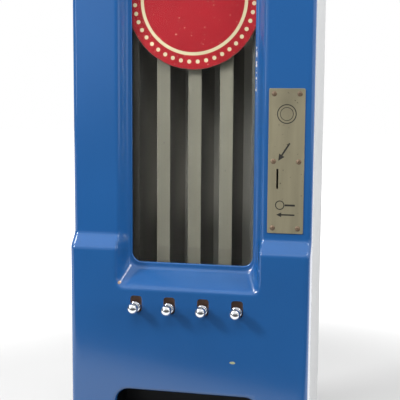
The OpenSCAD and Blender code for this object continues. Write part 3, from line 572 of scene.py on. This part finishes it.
# One material for each slot of the record; scale, spread and bump are those of the grain
MATS = {
    "blue_enamel": enamel(),
    "grey_paint": paint("grey_paint", (209, 210, 211), 0.55, specular=0.08),
    "window_glass": window(),
    "red_enamel": sign_paint(),
    "zinc_sheet": metal("zinc_sheet", (146, 144, 129), 0.5, 0.25, scale=90.0, spread=0.07, bump=0.05,
                        grain=(1, 1, 0.06), dirt=(74, 68, 58)),
    "nickel_plate": metal("nickel_plate", (156, 149, 124), 0.4, 0.55, scale=140.0, spread=0.09, bump=0.05,
                          grain=(1, 1, 0.1), dirt=(84, 74, 60)),
    "copper": metal("copper", (114, 96, 78), 0.55, 0.45, scale=260.0, spread=0.2, bump=0.1),
    "chrome": metal("chrome", (214, 216, 220), 0.07, 1.0, scale=120.0, spread=0.02, bump=0.01),
    "steel": metal("steel", (150, 150, 150), 0.34, 0.9, scale=160.0, spread=0.08, bump=0.05,
                   grain=(0.08, 1, 1)),
    "brass": metal("brass", (186, 150, 84), 0.3, 0.95, scale=120.0, spread=0.1, bump=0.05),
    "spring_steel": metal("spring_steel", (112, 112, 114), 0.3, 0.95, scale=200.0, spread=0.1, bump=0.05),
    "black_paint": paint("black_paint", (10, 12, 16), 0.5, (22, 20, 18), 0.66, 0.2),
}
INSIDE = metal("cover_inside", (92, 62, 48), 0.6, 0.1, scale=80.0, spread=0.2, bump=0.1)
RUST = metal("guard_rust", (172, 138, 120), 0.8, 0.0, scale=70.0, spread=0.2, bump=0.1, dirt=(92, 62, 48))
INK = paint("sign_ink", (34, 33, 30), 0.45, (90, 86, 74), 0.6)

# Materials of the pieces that come from the solids
# the walls and the back sheet are painted lighter than the strips: painted light inside the shaded columns
WALL, BACK, STRIP = (196, 191, 183), (214, 209, 200), (112, 108, 96)
COLUMN_MATS = {
    # painted shadow: the left end strip is dark where the left jamb shades it
    "column_end_left": column_sheet("column_strip_left", (58, 55, 51), WALL),
    "column_divider_1": column_sheet("column_strip_1", STRIP, WALL),
    # painted light: the strips lighter towards the right, where more light reaches them
    "column_divider_2": column_sheet("column_strip_2", tint(STRIP, 1.03), WALL),
    # painted shade: the walls of the fourth column darker
    "column_divider_3": column_sheet("column_strip_3", tint(STRIP, 1.09), tint(WALL, 0.8)),
    "column_end_right": column_sheet("column_strip_right", (92, 91, 88), WALL),
    "column_back": column_sheet("column_back_sheet", BACK, BACK),
}
for row in frame["record"]["subparts"]:
    for place in frame["nodes"][row["node"]].material_slots:
        place.material = COLUMN_MATS.get(row["node"], MATS[row["material_slot"]])


# The pressed front cover, finer than its solid: first how deep it lies at each place
def bend(s, run, depth, r):
    """Depth along a double bend that starts at s = 0 and ends at s = run."""
    s = np.asarray(s, float)
    a = np.arctan2(depth, run)
    t, reach = r * np.tan(a / 2), r * np.sin(a)
    first = r - np.sqrt(np.maximum(r * r - np.clip(s + t, 0, reach) ** 2, 0))
    last = r - np.sqrt(np.maximum(r * r - np.clip(run + t - s, 0, reach) ** 2, 0))
    slope = r * (1 - np.cos(a)) + (s - (reach - t)) * np.tan(a)
    out = np.where(s < reach - t, first, np.where(s > run + t - reach, depth - last, slope))
    return np.where(s <= -t, 0.0, np.where(s >= run + t, depth, out))


def bend_at(q, run, depth, r):
    """Place along such a bend at which it reaches depth q."""
    a = np.arctan2(depth, run)
    t, qa = r * np.tan(a / 2), r * (1 - np.cos(a))
    first = np.sqrt(np.maximum(r * r - (r - np.minimum(q, qa)) ** 2, 0)) - t
    last = run + t - np.sqrt(np.maximum(r * r - (r - np.minimum(depth - q, qa)) ** 2, 0))
    slope = r * np.sin(a) - t + (q - qa) / np.tan(a)
    return np.where(q <= qa, first, np.where(q >= depth - qa, last, slope))


HALVINGS = 26


def corner_depth(x, rise, edge, start, run, depth):
    """Depth in a round corner of the alcove: rise runs from the start of the sill or head into the alcove."""
    low, high = np.zeros_like(x + rise), np.full_like(x + rise, depth)
    for _ in range(HALVINGS):
        q = (low + high) / 2
        past = rise - bend_at(q, run, depth, BEND_R)
        r = ALCOVE_EDGE_R + (ALCOVE_R - ALCOVE_EDGE_R) * (start + q) / FRAME_BACK
        drawn = r - np.sqrt(np.maximum(r ** 2 - np.clip(r - past, 0, r) ** 2, 0))
        side = edge - bend_at(q, edge - JAMB_FOOT, depth, BEND_R) - drawn
        within = (np.abs(x) <= side) & (past >= 0)
        low, high = np.where(within, q, low), np.where(within, high, q)
    return start + low


def sharp_depth(x, z):
    """The cover's depth with its creases as they are bent, for a row of x and a column of z."""
    w = bend(z - LEDGE_Z, LEDGE_H, PANEL_BACK, LEDGE_R) / PANEL_BACK
    edge = ALCOVE_X + (JAMB_W / 2 - ALCOVE_X) * w
    jamb = PANEL_BACK * w + bend(edge - np.abs(x), edge - JAMB_FOOT, FRAME_BACK - PANEL_BACK * w, BEND_R)
    sill = bend(z - SILL_Z, SILL_H, FRAME_BACK, BEND_R)
    head = PANEL_BACK + bend(HEAD_Z - z, HEAD_H, FRAME_BACK - PANEL_BACK, BEND_R)
    limit = np.where(z < (SILL_Z + HEAD_Z) / 2, np.maximum(sill, PANEL_BACK * w), head)
    depth = np.minimum(jamb, limit)
    cols = (np.abs(x[0]) > JAMB_FOOT - 2 * ALCOVE_R) & (np.abs(x[0]) < JAMB_W / 2 + BEND_R)
    for rise, edge, start, run in ((z - SILL_Z, ALCOVE_X, 0.0, SILL_H),
                                   (HEAD_Z - z, JAMB_W / 2, PANEL_BACK, HEAD_H)):
        rows = (rise[:, 0] > -BEND_R) & (rise[:, 0] < run + BEND_R + ALCOVE_R)
        box = np.ix_(rows, cols)
        depth[box] = corner_depth(x[:, cols], rise[rows], edge, start, run, FRAME_BACK - start)
    return depth


RASTER, RASTER_EDGE, SOFTEN = 0.5, 4, 1.3


def soft_depth():
    """The cover's depth on a fine raster, with every crease rounded: (x values, z values, depths)."""
    xs = np.arange(-CAB_W / 2 - RASTER_EDGE, CAB_W / 2 + RASTER_EDGE, RASTER)
    zs = np.arange(-RASTER_EDGE, CAB_H + RASTER_EDGE, RASTER)
    depth = sharp_depth(xs[None, :], zs[:, None])
    reach = int(4 * SOFTEN / RASTER)
    kernel = np.exp(-0.5 * (np.arange(-reach, reach + 1) * RASTER / SOFTEN) ** 2)
    kernel /= kernel.sum()
    for axis in (0, 1):
        wide = np.pad(depth, [(reach, reach) if a == axis else (0, 0) for a in (0, 1)], "edge")
        depth = np.apply_along_axis(lambda row: np.convolve(row, kernel, "valid"), axis, wide)
    return xs, zs, depth


def cover_depth(x, z):
    """The rounded depth at any places, between those of the raster."""
    xs, zs, depth = soft_depth()
    u, v = (x - xs[0]) / RASTER, (z - zs[0]) / RASTER
    i, j = u.astype(int), v.astype(int)
    fu, fv = u - i, v - j
    return ((depth[j, i] * (1 - fu) + depth[j, i + 1] * fu) * (1 - fv)
            + (depth[j + 1, i] * (1 - fu) + depth[j + 1, i + 1] * fu) * fv)


# The cover's flat front ends where its rounded edge starts
RIM_HALF, RIM_TOP = CAB_W / 2 - EDGE_R, CAB_H - EDGE_R
RIM_LOW_R, RIM_HIGH_R = FOOT_R - EDGE_R, CORNER_R - EDGE_R
CORNER_STEPS, RIM_STEPS, LIP_STEPS = 8, 9, 6

# Spacing of the cover's mesh, as runs of (start, stop, step), finest where it bends
TOP_RUN = RIM_HALF - RIM_HIGH_R, RIM_HIGH_R - RIM_HALF, -8.25
SIDE_RUNS = (EDGE_R + RIM_LOW_R, 230, 8), (230, 260, 1), (260, RIM_TOP - RIM_HIGH_R, 8)
FOOT_RUN = RIM_LOW_R - RIM_HALF, RIM_HALF - RIM_LOW_R, 8
HALF_RUNS = (0, 48, 5), (48, 54, 1.5), (54, 79, 0.75), (79, RIM_HALF, 5)
RISE_RUNS = ((EDGE_R, 188, 5), (188, 194, 2), (194, 232, 0.75), (232, 257, 0.75),
             (257, 556, 6), (556, 592, 0.9), (592, RIM_TOP, 4))
NOTCH_CLEAR, OUTLINE_CLEAR, HOLE_CLEAR = 2, 0.6, 0.5


def screw_places():
    return [(PLATE_X + sx * (PLATE_W / 2 - SCREW_IN), PLATE_Z + PLATE_H / 2 + k * (PLATE_H / 2 - SCREW_IN))
            for sx in (-1, 1) for k in (-1, 0, 1)]


def cover_outline():
    """Outline of the front, with points at the ledges and at the hinge notches."""
    w, top, low, high = RIM_HALF, RIM_TOP, RIM_LOW_R, RIM_HIGH_R
    side_zs = graded(*SIDE_RUNS)[1:-1]
    notch_xs = [s * (NOTCH_X + d) for s in (-1, 1) for d in (-NOTCH_HALF, NOTCH_HALF)]
    foot_xs = [x for x in graded(FOOT_RUN)[1:-1] if min(abs(x - n) for n in notch_xs) > NOTCH_CLEAR]
    return (corner(w - high, top - high, high, 0, CORNER_STEPS)
            + [(x, top) for x in graded(TOP_RUN)[1:-1]]
            + corner(high - w, top - high, high, 90, CORNER_STEPS)
            + [(-w, z) for z in reversed(side_zs)]
            + corner(low - w, EDGE_R + low, low, 180, CORNER_STEPS)
            + [(x, EDGE_R) for x in sorted(foot_xs + notch_xs)]
            + corner(w - low, EDGE_R + low, low, 270, CORNER_STEPS)
            + [(w, z) for z in side_zs])


def cover_openings():
    """Openings with a turned-in lip, as (outline, rectangle, lip radius, lip depth), and plain holes."""
    win = (0.0, WIN_Z + WIN_H / 2, WIN_W + 2 * WIN_LIP_R, WIN_H + 2 * WIN_LIP_R, WIN_R + WIN_LIP_R)
    tray = (0.0, TRAY_Z + TRAY_H / 2, TRAY_W + 2 * LIP_R, TRAY_H + 2 * LIP_R, TRAY_R + LIP_R)
    lipped = [(divided(rounded_rect(*win, 8), 6), win, WIN_LIP_R, WIN_LIP_D),
              (divided(rounded_rect(*tray, 12), 5), tray, LIP_R, LIP_D)]
    slot_z = ROD_Z + (SLOT_UP - SLOT_DOWN) / 2
    plain = [rounded_rect(x, slot_z, SLOT_W, SLOT_UP + SLOT_DOWN, SLOT_R, 6) for x in PLUNGER_XS]
    plain.append(rounded_rect(COIN_X, COIN_Z, COIN_W, COIN_H, COIN_R, 1))
    plain += [circle(x, z, SCREW_R, 12) for x, z in screw_places()]
    plain.append(circle(0.0, LOCK_Z, LOCK_R, 32))
    return lipped, plain


def cover_grid(outer, holes):
    """Points of the front between its outline and its holes."""
    half = graded(*HALF_RUNS)
    xs = [-x for x in half[:0:-1]] + half
    grid = np.array([(x, z) for z in graded(*RISE_RUNS) for x in xs])
    keep = inside(outer, grid) & (near(outer, grid) > OUTLINE_CLEAR)
    for loop in holes:
        keep &= ~inside(loop, grid) & (near(loop, grid) > HOLE_CLEAR)
    return grid[keep]


def rect_normal(p, cx, cz, w, h, r_low, r_high):
    """Outward direction on a rounded rectangle, in x and z."""
    x, z = p[0] - cx, p[2] - cz
    r = r_low if z < 0 else r_high
    dx, dz = max(abs(x) - (w / 2 - r), 0.0), max(abs(z) - (h / 2 - r), 0.0)
    if dx == 0 and dz == 0:
        dx = 1.0
    d = math.hypot(dx, dz)
    return math.copysign(dx / d, x), math.copysign(dz / d, z)


def turned(p, nx, nz, r, steps):
    """A quarter round from a point, first along nx, nz and then straight back."""
    out = []
    for k in range(1, steps + 1):
        a = math.radians(90 * k / steps)
        out.append((p[0] + nx * r * math.sin(a), p[1] + r * (1 - math.cos(a)), p[2] + nz * r * math.sin(a)))
    return out


def rim_rows(p):
    """Next positions of a point of the outline: round the edge and back along the rim."""
    nx, nz = rect_normal(p, 0.0, CAB_H / 2, 2 * RIM_HALF, CAB_H - 2 * EDGE_R, RIM_LOW_R, RIM_HIGH_R)
    out = turned(p, nx, nz, EDGE_R, RIM_STEPS)
    x, _, z = out[-1]
    return out + [(x, RELIEF_P if z < HINGE_Z else RIM_D, z)]


def lip_rows(p, rect, r, d):
    """Next positions of a point of an opening: round its lip and straight back."""
    cx, cz, w, h, corner_r = rect
    nx, nz = rect_normal(p, cx, cz, w, h, corner_r, corner_r)
    out = turned(p, -nx, -nz, r, LIP_STEPS)
    x, depth, z = out[-1]
    return out + [(x, depth + d, z)]


def in_notch(row, x, z):
    """Whether a face of the rim lies in a hinge notch."""
    return row == RIM_STEPS and z < EDGE_R + ON_EDGE and abs(abs(x) - NOTCH_X) < NOTCH_HALF


def extend(pts, faces, loop, places, skip=lambda row, x, z: False):
    """Adds rows of faces beyond an edge loop: places gives a point's next positions."""
    last = {a: a for a, b in loop}
    rows = {a: places(pts[a]) for a, b in loop}
    for j in range(len(rows[loop[0][0]])):
        new = {}
        for a in rows:
            new[a] = len(pts)
            pts.append(rows[a][j])
        for a, b in loop:
            if not skip(j, (pts[a][0] + pts[b][0]) / 2, (pts[a][2] + pts[b][2]) / 2):
                faces.append((last[b], last[a], new[a], new[b]))
        last = new


def lined(pts, faces, t):
    """A skin, then its lining at a distance t along the normals, then the walls round its edges."""
    normal = np.zeros_like(pts)
    for f in faces:
        q = pts[list(f)]
        across = np.cross(q[1] - q[0], q[2] - q[0]) if len(f) == 3 else np.cross(q[2] - q[0], q[3] - q[1])
        for i in f:
            normal[i] += across
    normal /= np.maximum(np.linalg.norm(normal, axis=1, keepdims=True), TINY)
    n = len(pts)
    lining = [tuple(i + n for i in f[::-1]) for f in faces]
    walls = [(b, a, a + n, b + n) for a, b in open_edges(faces)]
    return np.vstack([pts, pts - t * normal]), faces + lining + walls


def make_cover():
    outer = cover_outline()
    lipped, plain = cover_openings()
    holes = [outline for outline, *_ in lipped] + plain
    v, faces = triangulate(outer, holes, cover_grid(outer, holes))
    pts = [(x, p, z) for (x, z), p in zip(v, cover_depth(v[:, 0], v[:, 1]))]
    edges = open_edges(faces)
    extend(pts, faces, edges_on(outer, v, edges), rim_rows, in_notch)
    for outline, *lip in lipped:
        extend(pts, faces, edges_on(outline, v, edges), lambda p, lip=lip: lip_rows(p, *lip))
    pts, faces = used_only(pts, faces)
    shell_pts, shell = lined(pts, faces, SHEET)
    obj = piece("cover_skin", (shell_pts, shell), "cover", [MATS["blue_enamel"], INSIDE],
                sharp=32.0, nodes=["front_cover"],
                face_mats=[0] * len(faces) + [1] * (len(shell) - len(faces)))
    wear = np.zeros(len(shell_pts))
    x, z = pts[:, 0], pts[:, 2]
    worn = np.exp(-((x - WEAR_X) / WEAR_W) ** 2) * np.exp(-((z - WEAR_Z) / WEAR_H) ** 4)
    wear[:len(pts)] = WEAR_MOST * worn
    obj.data.attributes.new("wear", "FLOAT", "POINT").data.foreach_set("value", wear)


make_cover()

# Coin plate
CHAMFER = 0.2
outline = rounded_rect(PLATE_X, PLATE_Z + PLATE_H / 2, PLATE_W, PLATE_H, PLATE_R, 5)
holes = [rounded_rect(COIN_X, COIN_Z, COIN_W, COIN_H, COIN_R, 1)]
holes += [circle(x, z, SCREW_R) for x, z in screw_places()]
form = slab(outline, holes, PLATE_FRONT, PANEL_BACK, CHAMFER)
piece("coin_plate_face", form, "cover", MATS["nickel_plate"],
      sharp=30.0, nodes=["coin_plate"])


# Signs in ink on the plate: a coin, an arrow to its slot, and a knob that is pulled
def ring(x, z, r, r_in, n):
    return circle(x, z, r, n), [circle(x, z, r_in, n)]


def arrow(tail, tip, shaft, head, length):
    """Outline of a plain arrow."""
    t, h = np.array(tail), np.array(tip)
    d = (h - t) / np.linalg.norm(h - t)
    s = np.array([-d[1], d[0]])
    neck = h - d * length
    out = [t + s * shaft / 2, t - s * shaft / 2, neck - s * shaft / 2, neck - s * head / 2, h,
           neck + s * head / 2, neck + s * shaft / 2]
    return [tuple(p) for p in out], []


INK_T = 0.06
COIN_SIGN_Z, KNOB_SIGN_Z, PULL_SIGN_Z = 376.0, 287.0, 277.5
SIGNS = {
    "coin_sign_rim": ring(PLATE_X, COIN_SIGN_Z, 9.5, 8.6, 48),
    "coin_sign_ring": ring(PLATE_X, COIN_SIGN_Z, 6.6, 6.0, 40),
    "coin_sign_arrow": arrow((100.2, 347.8), (89.2, 330.6), shaft=1.6, head=6.2, length=6.4),
    "knob_sign_ball": ring(91.4, KNOB_SIGN_Z, 4.6, 3.7, 32),
    "knob_sign_rod": (rounded_rect(101.3, KNOB_SIGN_Z, 10.0, 1.8, 0.3, 2), []),
    "knob_sign_arrow": arrow((106.0, PULL_SIGN_Z), (88.0, PULL_SIGN_Z), shaft=1.4, head=4.6, length=5.0),
}
for name, (outline, cuts) in SIGNS.items():
    form = slab(outline, cuts, PLATE_FRONT - INK_T, PLATE_FRONT + INK_T)
    piece(name, form, "cover", INK, sharp=30.0)

# Screws of the plate; each is turned a little further than the one before
HEAD_R, HEAD_H, CUT_HALF, CUT_DEPTH, STEM_R, STEM_L, STEM_POINT = 2.6, 1.1, 0.34, 0.55, 1.4, 4.0, 0.4
FIRST_TURN, NEXT_TURN = 0.5, 1.7


def screw(x, z, turn, front):
    """A domed head with a cut across it, and its stem, as one closed form."""
    rings, sides = 10, 40
    ball = (HEAD_R ** 2 + HEAD_H ** 2) / (2 * HEAD_H)
    radii = [HEAD_R * j / rings for j in range(rings + 1)]
    profile = [(r, front - (math.sqrt(ball ** 2 - r ** 2) - ball + HEAD_H)) for r in radii]
    profile += [(STEM_R, front), (STEM_R, front + STEM_L - STEM_POINT), (0.0, front + STEM_L)]
    pts, faces = lathe(x, z, profile, sides)
    cut_floor = front - HEAD_H + CUT_DEPTH
    for i, (px, p, pz) in enumerate(pts[:1 + rings * sides]):
        across = abs((pz - z) * math.cos(turn) - (px - x) * math.sin(turn))
        if across < CUT_HALF:
            pts[i] = (px, min(front, max(p, cut_floor)), pz)
    return pts, faces


screws = [screw(x, z, FIRST_TURN + NEXT_TURN * i, PLATE_FRONT) for i, (x, z) in enumerate(screw_places())]
piece("plate_screws", joined(screws), "cover", MATS["copper"],
      sharp=40.0, nodes=["coin_plate_screws"])

# Sign disc with a rolled edge and a bare back
FACE_P, BACK_P, FLAT_EDGE, ROLL_IN, ROLL_P, ROLL_R = 0.15, 0.75, 1.2, 0.45, 0.45, 0.34
SIGN_SIDES = 120
profile = [(0.0, SIGN_P + FACE_P), (SIGN_R - FLAT_EDGE, SIGN_P + FACE_P)]
profile += arc(SIGN_R - ROLL_IN, SIGN_P + ROLL_P, ROLL_R, 0, 180, 8) + [(0.0, SIGN_P + BACK_P)]
form = lathe(0.0, SIGN_Z, profile, SIGN_SIDES)
front_faces = len(form[1]) - SIGN_SIDES
piece("sign_face", form, "cover", [MATS["red_enamel"], MATS["zinc_sheet"]],
      sharp=50.0, nodes=["sign_disc"], face_mats=[0] * front_faces + [1] * SIGN_SIDES)

# Ball knobs, turned; the collar is as wide as the ball and has a socket for the rod
BALL_P, BALL_R, NECK_R, FILLET, FILLET_P = -12.0, 5.4, 3.7, 0.3, (0.4, 0.1)
COLLAR_P, COLLAR_L, COLLAR_R, COLLAR_FRONT_R, COLLAR_BACK_R = -4.5, 9.5, 5.4, 1.3, 0.8
SOCKET_R, SOCKET_L = 3.05, 6.5
collar_end = COLLAR_P + COLLAR_L
ball_end = math.degrees(math.pi - math.asin(NECK_R / BALL_R))
profile = arc(0.0, BALL_P, BALL_R, 0, ball_end, 26)
profile += [(NECK_R, COLLAR_P - FILLET_P[0]), (NECK_R + FILLET, COLLAR_P - FILLET_P[1])]
profile += arc(COLLAR_R - COLLAR_FRONT_R, COLLAR_P + COLLAR_FRONT_R, COLLAR_FRONT_R, 0, 90, 6)
profile += arc(COLLAR_R - COLLAR_BACK_R, collar_end - COLLAR_BACK_R, COLLAR_BACK_R, 90, 180, 5)
profile += [(SOCKET_R, collar_end), (SOCKET_R, collar_end - SOCKET_L), (0.0, collar_end - SOCKET_L)]
for i, x in enumerate(PLUNGER_XS, 1):
    form = lathe(x, ROD_Z, profile, sides=56)
    piece("ball_knob_%d" % i, form, "plunger_%d" % i, MATS["chrome"],
          sharp=40.0, nodes=["knob_%d" % i])

# Rusted guard plate close behind the plunger slots, on studs from the shelf's skirt
GUARD_P, GUARD_T, GUARD_W, GUARD_LOW, GUARD_HIGH = 6.5, 1.2, 140.0, 171.5, 195.5
GUARD_R, ROD_HOLE_R = 3.0, 3.8
STUD_R, STUD_HEAD_R, STUD_HEAD_T, STUD_HEAD_EDGE = 2.0, 3.2, 1.4, 0.6
outline = rounded_rect(0.0, (GUARD_LOW + GUARD_HIGH) / 2, GUARD_W, GUARD_HIGH - GUARD_LOW, GUARD_R, 6)
rod_holes = [circle(x, ROD_Z, ROD_HOLE_R, 32) for x in PLUNGER_XS]
form = slab(outline, rod_holes, GUARD_P, GUARD_P + GUARD_T, CHAMFER)
piece("slot_guard", form, "root", RUST, sharp=30.0)
head_p = GUARD_P - STUD_HEAD_T
profile = [(0.0, head_p)]
profile += arc(STUD_HEAD_R - STUD_HEAD_EDGE, head_p + STUD_HEAD_EDGE, STUD_HEAD_EDGE, 0, 90, 5)
profile += [(STUD_HEAD_R, GUARD_P), (STUD_R, GUARD_P), (STUD_R, SKIRT_P), (0.0, SKIRT_P)]
studs = [lathe((a + b) / 2, ROD_Z, profile, sides=32) for a, b in zip(PLUNGER_XS, PLUNGER_XS[1:])]
piece("guard_studs", joined(studs), "root", MATS["steel"], sharp=40.0)

# Return springs with closed end turns
TURN_STEPS, WIRE_SIDES, END_LEAD = 30, 10, 2.1 * WIRE_R


def coil(x):
    """A wound wire about a rod: its first and last turn lie flat, and the turns between are even."""
    start, stop = SPRING_P + WIRE_R, SPRING_END - WIRE_R
    total, flat = TURNS * TURN_STEPS, 1.0 / TURNS
    pts, faces = [], []
    for k in range(total + 1):
        t = k / total
        p = np.interp(t, (0, flat, 1 - flat, 1), (start, start + END_LEAD, stop - END_LEAD, stop))
        a = 2 * math.pi * t * TURNS
        for m in range(WIRE_SIDES):
            b = 2 * math.pi * m / WIRE_SIDES
            r = SPRING_R + WIRE_R * math.cos(b)
            pts.append((x + r * math.cos(a), p + WIRE_R * math.sin(b), ROD_Z + r * math.sin(a)))
    for k in range(total):
        for m in range(WIRE_SIDES):
            a, b = k * WIRE_SIDES + m, k * WIRE_SIDES + (m + 1) % WIRE_SIDES
            faces.append((a, b, b + WIRE_SIDES, a + WIRE_SIDES))
    first = tuple(range(WIRE_SIDES))
    return pts, faces + [first[::-1], tuple(total * WIRE_SIDES + m for m in first)]


for i, x in enumerate(PLUNGER_XS, 1):
    spring = piece("coil_spring_%d" % i, coil(x), "root", MATS["spring_steel"],
                   sharp=60.0, nodes=["return_spring_%d" % i])
    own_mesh(spring)

# Pale floor: it glows for gloss and glass, less in front of a slanting line, and white far off for the camera
FLOOR_X, FLOOR_FRONT, FLOOR_REAR, FLOOR_DROP = 6, -2.2, 9, 0.0005
FLOOR_PALE, FLOOR_DARK = (0.82, 0.82, 0.82, 1.0), (0.04, 0.04, 0.04, 1.0)
FLOOR_GLOW, FLOOR_DIM = 1.1, 1.09
SHEET_SKEW, SHEET_EDGE, SHEET_SOFT = 0.42, -0.36, 0.06
WHITE_FROM, WHITE_TO = 0.4, 1.1
AWAY_DARK, SOFT_DARK, GLOSS_DARK, SEEN_DARK = 0.95, 0.85, 0.7, 0.15


def floor_material():
    s = Shade("floor_white", 0.9, specular=0.0)
    shown, glossy, soft, viewed = s.rays()
    skew = s.minus(s.apart("Y"), s.times(s.apart("X"), SHEET_SKEW))
    away = s.times(s.fall(skew, SHEET_EDGE - SHEET_SOFT, SHEET_EDGE + SHEET_SOFT), glossy)
    level = s.minus(FLOOR_GLOW, s.times(away, FLOOR_DIM))
    level = s.times(level, s.minus(shown, viewed))
    far = s.minus(1.0, s.blob((0, 0, 0), WHITE_FROM, WHITE_TO))
    glow = s.add("Emission")
    s.link(s.plus(level, s.times(far, viewed)), glow.inputs["Strength"])
    dark = s.most(s.times(away, AWAY_DARK), s.times(soft, SOFT_DARK), s.times(glossy, GLOSS_DARK),
                  s.times(viewed, SEEN_DARK))
    s.colour(s.mix(dark, FLOOR_PALE, FLOOR_DARK))
    both = s.add("AddShader")
    s.link(s.bsdf.outputs["BSDF"], both.inputs[0])
    s.link(glow.outputs["Emission"], both.inputs[1])
    s.surface(both.outputs["Shader"])
    return s.mat


floor_mesh = bpy.data.meshes.new("floor")
floor_mesh.from_pydata([(-FLOOR_X, FLOOR_FRONT, 0), (FLOOR_X, FLOOR_FRONT, 0), (FLOOR_X, FLOOR_REAR, 0),
                        (-FLOOR_X, FLOOR_REAR, 0)], [], [(0, 1, 2, 3)])
floor_mesh.materials.append(floor_material())
floor = bpy.data.objects.new("floor", floor_mesh)
floor.location.z = -FLOOR_DROP
scene.collection.objects.link(floor)

# World: white behind the machine, soft light all round, and a dimmer room in front for gloss
AMBIENT_LOW, AMBIENT_TOP, ROOM_LOW, ROOM_TOP = 0.32, 0.45, 0.16, 1.2
ROOM_FROM, ROOM_TO, REAR_SKEW, REAR_FROM, REAR_TO = 0.15, 0.75, 0.8, -0.1, 0.4
HAZE_AT, HAZE_FROM, HAZE_TO, HAZE_LEVEL = (-0.36, -0.92, 0.15), 0.02, 0.28, 0.85


def light_room(world):
    world.use_nodes = True
    s = Nodes(world.node_tree, "Generated")
    height = s.apart("Z")
    lean = s.plus(s.apart("Y"), s.times(s.apart("X"), REAR_SKEW))
    sky = s.step(height, ROOM_FROM, ROOM_TO, ROOM_LOW, ROOM_TOP)
    haze = s.times(s.blob(HAZE_AT, HAZE_FROM, HAZE_TO), HAZE_LEVEL)
    room = s.most(sky, haze, s.step(lean, REAR_FROM, REAR_TO))
    shown, glossy = s.rays()[:2]
    view = s.plus(s.times(room, glossy), s.minus(1.0, glossy))
    soft = s.step(height, 0.0, 1.0, AMBIENT_LOW, AMBIENT_TOP)
    back = world.node_tree.nodes["Background"]
    back.inputs["Color"].default_value = (1, 1, 1, 1)
    s.link(s.plus(s.times(view, shown), s.times(s.minus(1.0, shown), soft)), back.inputs["Strength"])


scene.world = bpy.data.worlds.new("studio")
light_room(scene.world)


# Lamps; those that are not mirrored leave no highlight
def lamp(name, place, target, size, watts, mirrored=True):
    data = bpy.data.lights.new(name, "AREA")
    data.shape = "RECTANGLE"
    data.size, data.size_y = size
    data.energy = watts
    obj = bpy.data.objects.new(name, data)
    obj.location = place
    obj.visible_glossy = mirrored
    aim = Vector(target) - Vector(place)
    obj.rotation_euler = aim.to_track_quat("-Z", "Y").to_euler()
    scene.collection.objects.link(obj)


lamp("key", (-1.29, -0.96, 1.24), (0, -0.05, 0.3), (0.35, 0.35), 22)
lamp("left", (-0.95, -0.92, 0.78), (0.06, -0.05, 0.5), (0.25, 0.85), 2.5)
lamp("right", (1.55, -0.5, 0.75), (0, -0.04, 0.35), (0.8, 1.2), 16, False)
lamp("top", (-0.1, -1.35, 1.75), (0, -0.02, 0.25), (1.4, 0.8), 20, False)
lamp("over_left", (-0.8, -0.12, 1.2), (0, -0.04, 0.25), (0.21, 0.21), 2.5)
lamp("over_right", (0.8, -0.28, 1.12), (0, -0.04, 0.25), (0.21, 0.21), 2.1)
lamp("behind", (0.5, 2.2, 1.3), (0, 0, 0.3), (2.0, 1.2), 11, False)

# Camera, fitted to the straight edges of the machine in the photograph; the focal length is in pixels
PICTURE, FOCAL, SENSOR = 400.0, 880.0, 36.0
EYE = Vector((0.1975, -0.9066, 0.3904))
YAW, PITCH, ROLL = math.radians(12.30), math.radians(6.58), math.radians(0.368)
ahead = Vector((-math.sin(YAW) * math.cos(PITCH), math.cos(YAW) * math.cos(PITCH), -math.sin(PITCH)))
level = Vector((math.cos(YAW), math.sin(YAW), 0))
upright = level.cross(ahead)
right = level * math.cos(ROLL) + upright * math.sin(ROLL)
up = upright * math.cos(ROLL) - level * math.sin(ROLL)
camera_data = bpy.data.cameras.new("camera")
camera_data.sensor_width = SENSOR
camera_data.lens = FOCAL / PICTURE * SENSOR
camera = bpy.data.objects.new("camera", camera_data)
camera.matrix_world = Matrix.Translation(EYE) @ Matrix((right, up, -ahead)).transposed().to_4x4()
scene.collection.objects.link(camera)
scene.camera = camera

bpy.context.view_layer.update()
